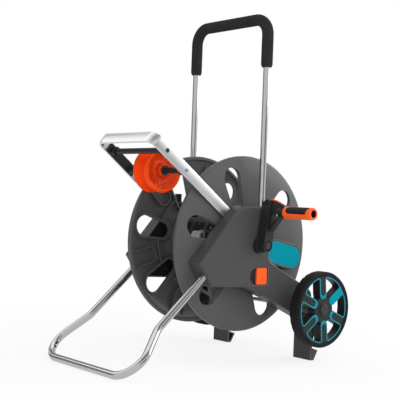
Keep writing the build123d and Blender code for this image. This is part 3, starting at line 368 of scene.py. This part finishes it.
@dataclass(frozen=True)
class SoftRubber:
    """Foam or solid rubber: matt, with small pores and a dusty bloom where hands and soil reach it."""

    name: str
    dark: str
    light: str
    roughness: float
    pore_mm: float
    pore_depth: float
    specular: float = 0.15
    ior: float = 1.52
    pore_lift_mm: float = 0.3
    dust_mm: float = 25.0
    dust_spread: float = 0.06

    def make(self) -> bpy.types.Material:
        """Build the node material.

        Returns:
            The rubber.
        """
        material, tree = blank_material(self.name)
        coord = add_node(tree, "ShaderNodeTexCoord").outputs["Object"]
        dust = add_node(tree, "ShaderNodeTexNoise", None, {
            "Vector": coord, "Scale": per_metre(self.dust_mm), "Detail": 5.0, "Roughness": 0.6})
        colour = add_node(tree, "ShaderNodeMix", {"data_type": "RGBA"}, {
            0: dust.outputs["Fac"], 6: linear(self.dark), 7: linear(self.light)})
        # Real pores are well under 1 mm, drawn coarser so that they show.
        pores = add_node(tree, "ShaderNodeTexVoronoi", None, {
            "Vector": coord, "Scale": per_metre(self.pore_mm)})
        bump = add_node(tree, "ShaderNodeBump", None, {
            "Strength": self.pore_depth, "Distance": self.pore_lift_mm * MM,
            "Height": pores.outputs["Distance"]})
        rough = add_node(tree, "ShaderNodeMapRange", None, {
            "Value": dust.outputs["Fac"],
            "To Min": self.roughness - self.dust_spread, "To Max": self.roughness + self.dust_spread})
        shader = add_node(tree, "ShaderNodeBsdfPrincipled", None, {
            "Base Color": colour.outputs[2], "Roughness": rough.outputs["Result"], "IOR": self.ior,
            "Specular IOR Level": self.specular, "Normal": bump.outputs["Normal"]})
        add_node(tree, "ShaderNodeOutputMaterial", None, {"Surface": shader.outputs["BSDF"]})
        return material


class Coat(Enum):
    """The cart's finishes."""

    # Weatherproof ASA from an eroded mould: a satin dark grey with a pale line painted on every edge, a
    # painted highlight.
    COVER = MouldedPlastic("asa_cover_grey", "#3F3F40", "#454546", "#9A9A9C", 0.46, edge_mm=1.8, wear_and_highlight=0.9)
    # Polypropylene, a little waxier than the covers, so its domes carry a broad soft gleam.
    FLANGE = MouldedPlastic("polypropylene_flange_grey", "#4B4B4C", "#515152", "#737375", 0.4)
    # Black nylon for frames, crank and wheel discs: deep, with a dry sheen.
    BLACK = MouldedPlastic("nylon_black", "#1D1D1E", "#242425", "#424244", 0.48)
    # Slate-grey nylon for the hub caps, the drum and the roller's bush, a step paler than black.
    SLATE = MouldedPlastic("nylon_slate", "#2B2B2C", "#323233", "#58585A", 0.42)
    # Natural acetal for the water fittings: pale grey and slightly waxy.
    FITTING = MouldedPlastic("acetal_fitting_grey", "#8E9090", "#A2A4A4", "#B9BBBB", 0.42)
    # Polished orange ABS for the parts a hand goes to.
    ORANGE = MouldedPlastic("abs_orange", "#FA5A1E", "#FF6528", "#FF8F5E", 0.34, grain_depth=0.05,
                            specular=0.15)
    # Deeper orange polypropylene for the roller's two halves, smooth with a low gleam.
    ROLLER = MouldedPlastic("polypropylene_roller_orange", "#F04004", "#F84A08", "#FF7430", 0.3,
                            grain_depth=0.05, specular=0.07)
    # The same plastic in the roller's pleated ends, painted darker than the halves as painted shade in the
    # folds, with pale edges as a painted highlight.
    FOLD = MouldedPlastic("polypropylene_fold_orange_painted_shade", "#C83204", "#DC3E06", "#FF8A4A", 0.26,
                          grain_depth=0.05, edge_mm=2.0, specular=0.2)
    # Teal ABS, smooth and evenly lit, with paler edges that are partly wear and partly a painted highlight.
    TEAL = MouldedPlastic("abs_teal", "#048495", "#088EA0", "#6CCBD6", 0.38, grain_depth=0.06,
                          edge_mm=1.2, specular=0.02)
    # Chromium plate mirrors the studio in bright and dark lengthwise bands.
    TUBE = PlatedTube("chromed_steel_tube", "#B4B6B8", 0.07)
    # Anodised aluminium strap: silvery, with a silky brushed grain.
    STRAP = BrushedStrap("anodised_aluminium_strap", "#CCCED0", "#D8DADB", 0.32, GUIDE_SLOPE_DEG)
    # Zinc-plated rivets, pins and axles: plain dull metal.
    STEEL = TurnedSteel("zinc_plated_steel", "#8A8C8E", "#A8AAAC", 0.4)
    # Closed-cell nitrile foam: soft black that never shines.
    FOAM = SoftRubber("nitrile_foam_black", "#242425", "#2F2F30", 0.75, 2.0, 0.25, specular=0.1)
    # Overmoulded thermoplastic rubber: black, a touch slicker than foam.
    PAD = SoftRubber("thermoplastic_rubber_pad", "#161617", "#1E1E1F", 0.6, 1.5, 0.1)
    # Solid rubber tyre: matt black with a dusty bloom.
    TYRE = SoftRubber("solid_tyre_rubber", "#121213", "#1A1A1B", 0.7, 2.5, 0.15)

    def material(self) -> bpy.types.Material:
        """Give this coat's material, made on first use."""
        finish: Finish = self.value
        return bpy.data.materials.get(finish.name) or finish.make()


@dataclass
class Frame:
    """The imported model's nodes, and how they are painted."""

    nodes: Mapping[str, bpy.types.Object]

    def paint(self, coat: Coat, names: Iterable[str]) -> None:
        """Give CAD nodes a finish.

        Args:
            coat: The finish.
            names: The nodes that get it.
        """
        for name in names:
            slots = self.nodes[name].data.materials
            slots.clear()
            slots.append(coat.material())
            LOG.info("painted %s with %s", name, coat.value.name)


@dataclass
class SubAssembly:
    """A group of pieces that are built and painted together."""

    def build(self) -> None:
        """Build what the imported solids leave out; a plain group leaves out nothing."""

    def dress(self, frame: Frame) -> None:
        """Paint the group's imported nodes."""
        raise NotImplementedError


def edges_of(made: Iterable[Any]) -> Ring:
    """Pick the edges out of what an operator made."""
    return [item for item in made if isinstance(item, bmesh.types.BMEdge)]


def verts_of(edges: Ring) -> list[bmesh.types.BMVert]:
    """Give the vertices of some edges, each once."""
    return list({vert for edge in edges for vert in edge.verts})


def add_piece(
    mesh_of: bmesh.types.BMesh, name: str, coat: Coat, body: str
) -> bpy.types.Object:
    """Turn a finished bmesh into a piece that rides on a body.

    Args:
        mesh_of: The shape, in the frame's metres; it is freed.
        name: The piece's name.
        coat: Its finish.
        body: CAD body that carries it.

    Returns:
        The new object, at the origin.
    """
    mesh = bpy.data.meshes.new(name)
    mesh_of.to_mesh(mesh)
    mesh_of.free()
    mesh.polygons.foreach_set("use_smooth", [True] * len(mesh.polygons))
    mesh.set_sharp_from_angle(angle=math.radians(SMOOTH_DEG))
    mesh.materials.append(coat.material())
    piece = bpy.data.objects.new(name, mesh)
    bpy.context.scene.collection.objects.link(piece)
    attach(piece, body)
    LOG.info("built %s: %d faces on %s", name, len(mesh.polygons), body)
    return piece


@dataclass
class PushHandle(SubAssembly):
    """Telescoping bow: plated tube, plugs and a ribbed foam sleeve over its top."""

    leg_x: float = LEG_X
    leg_y: float = 18.0
    top_z: float = 513.5
    bend: float = 38.0
    sleeve_foot: float = 402.0
    sleeve_radius: float = 13.3
    bore_radius: float = 7.55
    bend_steps: int = 14
    ridges: int = 30
    ridge_points: int = 4
    ridge_depth: float = 0.7
    taper: float = 6.0
    end_step: float = 2.6

    def _push(self, shell: bmesh.types.BMesh, ring: Ring, step: Vector) -> Ring:
        """Draw a ring out along a straight.

        Args:
            shell: Mesh that holds the ring.
            ring: The ring's edges.
            step: How far and which way, in mm.

        Returns:
            The edges of the ring at the far end.
        """
        made = bmesh.ops.extrude_edge_only(shell, edges=ring)["geom"]
        verts = [item for item in made if isinstance(item, bmesh.types.BMVert)]
        bmesh.ops.translate(shell, vec=step * MM, verts=verts)
        return edges_of(made)

    def _turn(self, shell: bmesh.types.BMesh, ring: Ring, centre: Vector) -> Ring:
        """Draw a ring round a quarter bend, from right to left.

        Args:
            shell: Mesh that holds the ring.
            ring: The ring's edges.
            centre: The bend's centre, in metres.

        Returns:
            The edges of the ring at the far end.
        """
        made = bmesh.ops.spin(shell, geom=verts_of(ring) + ring, cent=centre, axis=(0, 1, 0),
                              dvec=(0, 0, 0), angle=-math.pi / 2, steps=self.bend_steps,
                              use_duplicate=False)
        return edges_of(made["geom_last"])

    def _narrow(self, shell: bmesh.types.BMesh, ring: Ring, side: float) -> None:
        """Draw in the sleeve's end on one leg, close to the tube.

        Args:
            shell: Mesh that holds the end.
            ring: The end's edges.
            side: 1 for the right leg, -1 for the left.
        """
        foot = spot(side * self.leg_x, self.leg_y, self.sleeve_foot)
        share = 1 - self.end_step / self.sleeve_radius
        bmesh.ops.scale(shell, vec=(share, share, 1.0), verts=verts_of(ring),
                        space=Matrix.Translation(-foot))

    def _run(self, shell: bmesh.types.BMesh, first: Ring, taper: float) -> tuple[Ring, Ring]:
        """Sweep a ring up one leg, over the top and down the other.

        Args:
            shell: Mesh that holds the ring.
            first: The ring's edges at the sleeve's foot.
            taper: Length over which each end narrows, 0 for none.

        Returns:
            The edges of the first and the last ring.
        """
        inner_x, bend_z = self.leg_x - self.bend, self.top_z - self.bend
        straight = bend_z - self.sleeve_foot
        ring = self._push(shell, first, Vector((0, 0, taper))) if taper else first
        ring = self._push(shell, ring, Vector((0, 0, straight - taper)))
        ring = self._turn(shell, ring, spot(inner_x, self.leg_y, bend_z))
        ring = self._push(shell, ring, Vector((-2 * inner_x, 0, 0)))
        ring = self._turn(shell, ring, spot(-inner_x, self.leg_y, bend_z))
        ring = self._push(shell, ring, Vector((0, 0, taper - straight)))
        last = self._push(shell, ring, Vector((0, 0, -taper))) if taper else ring
        if taper:
            self._narrow(shell, first, SIDES["right"])
            self._narrow(shell, last, SIDES["left"])
        return first, last

    def build(self) -> None:
        """Build the foam sleeve with its lengthwise ridges and narrowed ends."""
        shell = bmesh.new()
        foot = Matrix.Translation(spot(self.leg_x, self.leg_y, self.sleeve_foot))
        ends: list[tuple[Ring, Ring]] = []
        for radius, ridged in ((self.sleeve_radius, True), (self.bore_radius, False)):
            made = bmesh.ops.create_circle(shell, cap_ends=False, radius=radius * MM,
                                           segments=self.ridge_points * self.ridges, matrix=foot)
            ring = list({e for v in made["verts"] for e in v.link_edges})
            if ridged:
                for vert in made["verts"]:
                    arm = vert.co - foot.translation
                    wave = 0.5 - 0.5 * math.cos(self.ridges * math.atan2(arm.y, arm.x))
                    vert.co = foot.translation + arm * (1 - wave * self.ridge_depth / radius)
            ends.append(self._run(shell, ring, self.taper if ridged else 0.0))
        for outer, inner in zip(ends[0], ends[1]):
            bmesh.ops.bridge_loops(shell, edges=outer + inner)
        bmesh.ops.recalc_face_normals(shell, faces=shell.faces)
        sleeve = add_piece(shell, "ribbed_foam_sleeve", Coat.FOAM, "push_handle")
        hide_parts("foam_sleeve")

    def dress(self, frame: Frame) -> None:
        """Paint the tube, its plugs and the plain sleeve that the ribbed one stands for.

        Args:
            frame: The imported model.
        """
        frame.paint(Coat.TUBE, ["handle_tube"])
        frame.paint(Coat.BLACK, ["handle_plugs"])
        frame.paint(Coat.FOAM, ["foam_sleeve"])


@dataclass
class HoseGuide(SubAssembly):
    """Slanted strap with two rods, liners, and a pleated spool roller."""

    slope_deg: float = GUIDE_SLOPE_DEG
    rod_t: float = 247.0
    offset: float = 13.2
    pleats: int = 19
    pleat_steps: int = 6
    pleat_depth: float = 4.2
    skin: float = 0.6
    # One dished end from its neck to its rim, as (x, radius) from the roller's middle.
    dish: tuple[tuple[float, float], ...] = (
        (25.6, 13.3), (13.9, 16.0), (12.2, 20.0), (11.1, 23.5), (12.5, 27.0),
        (14.3, 31.2), (17.7, 34.8), (20.6, 37.9), (23.5, 40.6))

    def rod(self) -> Vector:
        """Find the middle of the roller's rod.

        Returns:
            The point, in metres.
        """
        slope = math.radians(self.slope_deg)
        along = Vector((0, -math.cos(slope), math.sin(slope)))
        across = Vector((0, math.sin(slope), math.cos(slope)))
        return spot(0, 0, 0) + (along * self.rod_t + across * self.offset) * MM

    def _pleat(self, angle: float, radius: float) -> float:
        """Work out how far the folds stand out at one place of a dished end.

        Args:
            angle: Round the rod, in radians.
            radius: From the rod, in mm.

        Returns:
            The rise along the rod, in mm.
        """
        low, high = self.dish[1][1], self.dish[-1][1]
        reach = max(0.0, math.sin(math.pi * min(1.0, max(0.0, (radius - low) / (high - low)))))
        # The folds wander sideways and differ in height, so that no two look alike.
        sway = 1.1 * math.sin(3 * angle) + 0.6 * math.sin(5 * angle + 1) + 0.05 * radius
        fold = 0.5 + 0.5 * math.cos(self.pleats * angle + sway)
        height = self.pleat_depth * (0.7 + 0.3 * math.cos(4 * angle + 1.3))
        return reach * fold * height

    def build(self) -> None:
        """Build the pleated lining of the roller's two dished ends."""
        centre = self.rod()
        for name, side in SIDES.items():
            lining = bmesh.new()
            verts = [lining.verts.new(centre + Vector((side * x, 0, r)) * MM) for x, r in self.dish]
            edges = [lining.edges.new(pair) for pair in zip(verts, verts[1:])]
            bmesh.ops.spin(lining, geom=verts + edges, cent=centre, axis=(1, 0, 0), dvec=(0, 0, 0),
                           angle=2 * math.pi, steps=self.pleat_steps * self.pleats, use_merge=True)
            for vert in lining.verts:
                arm = vert.co - centre
                rise = self._pleat(math.atan2(arm.z, arm.y), math.hypot(arm.y, arm.z) / MM)
                vert.co.x += side * rise * MM
            bmesh.ops.recalc_face_normals(lining, faces=lining.faces)
            bmesh.ops.solidify(lining, geom=lining.faces[:], thickness=self.skin * MM)
            bmesh.ops.recalc_face_normals(lining, faces=lining.faces)
            # The pleats take the darker copy of the roller's orange: painted shade.
            add_piece(lining, f"{name}_roller_pleats", Coat.FOLD, "roller")

    def dress(self, frame: Frame) -> None:
        """Paint the strap, rods, liners and roller.

        Args:
            frame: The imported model.
        """
        frame.paint(Coat.STRAP, ["guide_arm"])
        frame.paint(Coat.BLACK, [
            "right_guide_liner", "left_guide_liner", "guide_top_rod", "roller_rod", "guide_plugs"])
        frame.paint(Coat.STEEL, ["guide_rivets"])
        frame.paint(Coat.ROLLER, ["right_roller_half", "left_roller_half"])
        frame.paint(Coat.SLATE, ["roller_bush"])


@dataclass
class Reel(SubAssembly):
    """Flanged drum with its shafts and hose outlet."""

    def dress(self, frame: Frame) -> None:
        """Paint the flanges, the drum and the fittings inside it.

        Args:
            frame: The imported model.
        """
        frame.paint(Coat.FLANGE, ["right_flange", "left_flange"])
        frame.paint(Coat.BLACK, ["feed_pipe", "water_shaft"])
        frame.paint(Coat.SLATE, ["drum_core"])
        frame.paint(Coat.STEEL, ["drive_shaft", "reel_screws"])
        frame.paint(Coat.FITTING, ["outlet_nipple"])


@dataclass
class Crank(SubAssembly):
    """Arm, folding bracket, release button and turning grip."""

    grip_y: float = 12.05
    grip_z: float = 76.05
    cup_floor: float = 269.0
    cup_mouth: float = 287.4
    cup_radius: float = 8.55
    cup_wall: float = 1.3
    ring_floor: float = 165.2
    ring_thick: float = 0.4
    ring_radii: tuple[float, float] = (8.35, 11.45)
    round_steps: int = 48

    def _turned(
        self, outline: list[tuple[float, float]], centre: Vector, ring: bool
    ) -> bmesh.types.BMesh:
        """Turn an outline once round a line along X.

        Args:
            outline: Points as (x, radius), in mm.
            centre: A point of the line, in metres.
            ring: Whether the outline closes on itself; otherwise it ends on the line.

        Returns:
            The closed shape.
        """
        shape = bmesh.new()
        verts = [shape.verts.new(centre + Vector((x, 0, r)) * MM) for x, r in outline]
        ends = verts[1:] + verts[:1] if ring else verts[1:]
        edges = [shape.edges.new(pair) for pair in zip(verts, ends)]
        bmesh.ops.spin(shape, geom=verts + edges, cent=centre, axis=(1, 0, 0), dvec=(0, 0, 0),
                       angle=2 * math.pi, steps=self.round_steps, use_merge=True)
        bmesh.ops.remove_doubles(shape, verts=shape.verts, dist=MERGE_MM * MM)
        bmesh.ops.recalc_face_normals(shape, faces=shape.faces)
        return shape

    def build(self) -> None:
        """Build the cup in the grip's hollow end, and the dark ring round the hub's button."""
        inner, bottom = self.cup_radius - self.cup_wall, self.cup_floor + self.cup_wall
        cup = [(self.cup_floor, 0.0), (self.cup_floor, self.cup_radius),
               (self.cup_mouth, self.cup_radius), (self.cup_mouth, inner), (bottom, inner), (bottom, 0.0)]
        shape = self._turned(cup, spot(0, self.grip_y, self.grip_z), False)
        add_piece(shape, "grip_end_cup", Coat.BLACK, "crank_grip")
        (small, large), top = self.ring_radii, self.ring_floor + self.ring_thick
        ring = [(self.ring_floor, small), (top, small), (top, large), (self.ring_floor, large)]
        shape = self._turned(ring, spot(0, 0, 0), True)
        add_piece(shape, "hub_button_ring", Coat.PAD, "reel")

    def dress(self, frame: Frame) -> None:
        """Paint the crank from its hub to its grip.

        Args:
            frame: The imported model.
        """
        frame.paint(Coat.BLACK, ["crank_arm", "knee_bracket", "crank_screw", "knee_pin", "grip_retainer"])
        frame.paint(Coat.STEEL, ["grip_spindle"])
        frame.paint(Coat.SLATE, ["crank_hub_cap"])
        frame.paint(Coat.ORANGE, ["fold_button", "grip_core"])
        frame.paint(Coat.PAD, ["grip_pads"])


@dataclass
class Chassis(SubAssembly):
    """Covers, frames, latches, stand, feet and inlet."""

    def dress(self, frame: Frame) -> None:
        """Paint everything that stands still, and the latches and the inlet on it.

        Args:
            frame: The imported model.
        """
        frame.paint(Coat.COVER, ["right_side_cover", "left_side_cover", "right_foot", "left_foot"])
        frame.paint(Coat.BLACK, ["right_side_frame", "left_side_frame", "latch_trays", "inlet_elbow"])
        frame.paint(Coat.FITTING, ["right_bearing_bush", "left_bearing_bush"])
        frame.paint(Coat.TEAL, ["badge_plates"])
        frame.paint(Coat.TUBE, ["stand_tube"])
        frame.paint(Coat.STEEL, ["cover_screws", "wheel_axle", "axle_hardware"])
        frame.paint(Coat.ORANGE, ["right_latch", "left_latch"])
        frame.paint(Coat.PAD, ["inlet_seal"])


@dataclass
class LatchSprings(SubAssembly):
    """Open coil behind each height latch, built at rest; the real one shortens as the latch is drawn back.
    """

    leg_x: float = LEG_X
    foot_y: float = 31.8
    coil_z: float = -70.5
    length: float = 12.2
    radius: float = 3.2
    wire: float = 0.5
    wire_points: int = 10
    turns: int = 4
    turn_steps: int = 16
    travel: float = 3.5

    def build(self) -> None:
        """Build both coils, held at the frame's post and pressed by the latch's arm."""
        steps, full = self.turn_steps * self.turns, self.length + 2 * self.wire
        for name, side in SIDES.items():
            coil = bmesh.new()
            foot = spot(side * self.leg_x, self.foot_y, self.coil_z)
            start = Matrix.Translation(foot + Vector((self.radius * MM, 0, 0)))
            ring = bmesh.ops.create_circle(coil, cap_ends=False, radius=self.wire * MM,
                                           segments=self.wire_points, matrix=start)
            edges = list({e for v in ring["verts"] for e in v.link_edges})
            bmesh.ops.spin(coil, geom=ring["verts"] + edges, cent=foot, axis=(0, 1, 0),
                           dvec=(0, self.length * MM / steps, 0), angle=2 * math.pi * self.turns,
                           steps=steps)
            ends = [e for e in coil.edges if e.is_boundary]
            bmesh.ops.holes_fill(coil, edges=ends, sides=self.wire_points)
            bmesh.ops.recalc_face_normals(coil, faces=coil.faces)
            piece = add_piece(coil, f"{name}_latch_coil", Coat.STEEL, "chassis")
            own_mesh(piece)
            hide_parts(f"{name}_latch_spring")

    def dress(self, frame: Frame) -> None:
        """Paint the plain coils that these stand for."""
        frame.paint(Coat.STEEL, [f"{name}_latch_spring" for name in SIDES])


@dataclass
class Wheels(SubAssembly):
    """Two spoked wheels with solid tyres and a raised coloured line."""

    def dress(self, frame: Frame) -> None:
        """Paint both wheels.

        Args:
            frame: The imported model.
        """
        for name in SIDES:
            frame.paint(Coat.BLACK, [f"{name}_wheel_disc"])
            frame.paint(Coat.SLATE, [f"{name}_hub_cap"])
            frame.paint(Coat.TYRE, [f"{name}_tyre"])
            frame.paint(Coat.TEAL, [f"{name}_wheel_trim"])


@dataclass(frozen=True)
class PhotoCamera:
    """The photograph's viewpoint, from the middle of the reel axis."""

    azimuth_deg: float = 49.307
    elevation_deg: float = 0.451
    roll_deg: float = 2.146
    distance_mm: float = 2139.538
    across_mm: float = -45.907
    raised_mm: float = 95.582
    focal_px: float = 906.833
    frame_px: float = 400.0
    sensor_mm: float = 36.0

    def build(self) -> bpy.types.Object:
        """Make the camera and hand it to the scene.

        Returns:
            The camera object.
        """
        azimuth = math.radians(self.azimuth_deg)
        back = outward(self.azimuth_deg, self.elevation_deg)
        right = Vector((math.cos(azimuth), math.sin(azimuth), 0.0))
        up = back.cross(right)
        place = back * self.distance_mm + right * self.across_mm + up * self.raised_mm
        roll = math.radians(self.roll_deg)
        level = right * math.cos(roll) + up * math.sin(roll)
        upright = up * math.cos(roll) - right * math.sin(roll)
        data = bpy.data.cameras.new("photo_camera")
        data.sensor_width = self.sensor_mm
        data.lens = self.sensor_mm * self.focal_px / self.frame_px
        data.clip_start, data.clip_end = 0.05, 60.0
        camera = bpy.data.objects.new("photo_camera", data)
        turned = Matrix((level, upright, back)).transposed().to_4x4()
        camera.matrix_world = Matrix.Translation(spot(*place)) @ turned
        bpy.context.scene.collection.objects.link(camera)
        bpy.context.scene.camera = camera
        return camera


class Lamp(Enum):
    """Soft boxes round the cart.

    Each is its place from the reel axis in mm, its width and height in m, its watts, and whether bright
    metal mirrors it.
    """

    KEY = ((2100.0, -500.0, 900.0), (2.8, 2.4), 30.0, False)
    FILL = ((1500.0, -1900.0, 700.0), (3.2, 2.6), 8.0, False)
    LEFT = ((-1700.0, -500.0, 1400.0), (2.4, 2.0), 12.0, True)
    TOP = ((-300.0, 200.0, 2300.0), (1.8, 1.4), 5.0, True)
    RIM = ((1000.0, 2200.0, 1200.0), (1.8, 1.4), 26.0, True)


class Flag(Enum):
    """Grey cards that only mirrored rays meet.

    Each is its bearing from the camera's line and its elevation in degrees, then its width, height and
    distance in m.
    """

    FRONT = (46.0, 0.0, 1.8, 1.1, 2.2)
    OVER = (50.0, 50.0, 1.6, 1.2, 2.2)
    LEFT = (-100.0, 0.0, 1.6, 1.6, 2.2)
    BEHIND = (-138.0, 30.0, 1.2, 1.8, 2.2)
    CREST = (4.0, 50.0, 1.8, 1.1, 2.2)


@dataclass(frozen=True)
class Studio:
    """White sweep, soft boxes, grey cards for the bright metal, and a pale world."""

    floor_m: float = 8.0
    glow: float = 0.82
    shadow_from_m: float = 0.45
    shadow_to_m: float = 1.2
    world_level: float = 0.55
    floor_white: str = "#F4F4F4"
    glow_white: str = "#FFFFFF"
    card_grey: str = "#929292"
    camera_bearing_deg: float = PhotoCamera.azimuth_deg

    def _seen(self, tree: bpy.types.NodeTree) -> bpy.types.NodeSocket:
        """Tell the rays that show the background: the camera's, mirrored and transmitted ones.

        Args:
            tree: Tree that takes the nodes.

        Returns:
            A socket that is 1 for those rays and 0 for the others.
        """
        path = add_node(tree, "ShaderNodeLightPath")
        first = add_node(tree, "ShaderNodeMath", {"operation": "MAXIMUM"}, {
            0: path.outputs["Is Camera Ray"], 1: path.outputs["Is Glossy Ray"]})
        both = add_node(tree, "ShaderNodeMath", {"operation": "MAXIMUM"}, {
            0: first.outputs["Value"], 1: path.outputs["Is Transmission Ray"]})
        return both.outputs["Value"]

    def _sheet(
        self, name: str, material: bpy.types.Material, place: Matrix, half: tuple[float, float]
    ) -> bpy.types.Object:
        """Put one flat stage sheet into the scene.

        Args:
            name: The sheet's name.
            material: Its material.
            place: Where its middle goes and how it is turned.
            half: Half its width and half its height, in metres.

        Returns:
            The stage object.
        """
        sheet = bmesh.new()
        bmesh.ops.create_grid(sheet, x_segments=1, y_segments=1, size=1.0,
                              matrix=place @ Matrix.Diagonal((half[0], half[1], 1.0, 1.0)))
        mesh = bpy.data.meshes.new(name)
        sheet.to_mesh(mesh)
        sheet.free()
        mesh.materials.append(material)
        thing = bpy.data.objects.new(name, mesh)
        bpy.context.scene.collection.objects.link(thing)
        return thing

    def _floor(self) -> None:
        """Lay the floor, which looks white and still takes a soft shadow round the cart."""
        material, tree = blank_material("white_sweep")
        reach = add_node(tree, "ShaderNodeVectorMath", {"operation": "LENGTH"}, {
            0: add_node(tree, "ShaderNodeTexCoord").outputs["Object"]})
        fade = add_node(tree, "ShaderNodeMapRange", {"interpolation_type": "SMOOTHSTEP"}, {
            "Value": reach.outputs["Value"], "From Min": self.shadow_from_m, "From Max": self.shadow_to_m,
            "To Min": self.glow, "To Max": 1.0})
        share = add_node(tree, "ShaderNodeMath", {"operation": "MULTIPLY"}, {
            0: self._seen(tree), 1: fade.outputs["Result"]})
        matt = add_node(tree, "ShaderNodeBsdfDiffuse", None, {"Color": linear(self.floor_white)})
        glow = add_node(tree, "ShaderNodeEmission", None, {
            "Color": linear(self.glow_white), "Strength": 1.0})
        mix = add_node(tree, "ShaderNodeMixShader", None, {
            0: share.outputs["Value"], 1: matt.outputs["BSDF"], 2: glow.outputs["Emission"]})
        add_node(tree, "ShaderNodeOutputMaterial", None, {"Surface": mix.outputs["Shader"]})
        self._sheet("studio_floor", material, Matrix(), (self.floor_m, self.floor_m))

    def _flags(self) -> None:
        """Hang the grey cards round the cart, out of the camera's and the soft light's reach."""
        material, tree = blank_material("grey_card")
        face = add_node(tree, "ShaderNodeEmission", None, {
            "Color": linear(self.card_grey), "Strength": 1.0})
        add_node(tree, "ShaderNodeOutputMaterial", None, {"Surface": face.outputs["Emission"]})
        for flag in Flag:
            bearing, elevation, width, height, distance = flag.value
            out = outward(self.camera_bearing_deg + bearing, elevation)
            along = Vector((0, 0, 1)).cross(out).normalized()
            facing = Matrix((along, out.cross(along), out)).transposed().to_4x4()
            place = Matrix.Translation(spot(0, 0, 0) + out * distance) @ facing
            card = self._sheet(f"{flag.name.lower()}_flag", material, place, (width / 2, height / 2))
            card.visible_camera = False
            card.visible_diffuse = False
            card.visible_shadow = False

    def _world(self) -> None:
        """Set the pale world, white where it is seen or mirrored."""
        world = bpy.data.worlds.new("pale_studio")
        world.use_nodes = True
        tree = world.node_tree
        tree.nodes.clear()
        level = add_node(tree, "ShaderNodeMapRange", None, {
            "Value": self._seen(tree), "To Min": self.world_level, "To Max": 1.0})
        back = add_node(tree, "ShaderNodeBackground", None, {
            "Color": linear(self.glow_white), "Strength": level.outputs["Result"]})
        add_node(tree, "ShaderNodeOutputWorld", None, {"Surface": back.outputs["Background"]})
        bpy.context.scene.world = world

    def build(self) -> None:
        """Set up floor, world, cards and soft boxes."""
        self._floor()
        self._world()
        self._flags()
        for lamp in Lamp:
            place, (width, height), watts, mirrored = lamp.value
            data = bpy.data.lights.new(lamp.name.lower(), "AREA")
            data.shape = "RECTANGLE"
            data.size, data.size_y = width, height
            data.energy = watts
            light = bpy.data.objects.new(lamp.name.lower(), data)
            light.location = spot(*place)
            light.visible_glossy = mirrored
            light.rotation_euler = (spot(0, 0, 0) - light.location).to_track_quat("-Z", "Y").to_euler()
            bpy.context.scene.collection.objects.link(light)
        bpy.context.scene.view_settings.view_transform = "Standard"


def main() -> None:
    """Load the frame, build and dress each sub-assembly, then light and frame the cart."""
    logging.basicConfig(level=logging.INFO, format="%(name)s: %(message)s")
    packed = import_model()
    frame = Frame(packed["nodes"])
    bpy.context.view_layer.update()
    for part in (PushHandle(), HoseGuide(), Reel(), Crank(), Chassis(), LatchSprings(), Wheels()):
        part.build()
        part.dress(frame)
    Studio().build()
    PhotoCamera().build()


if __name__ == "__main__":
    main()
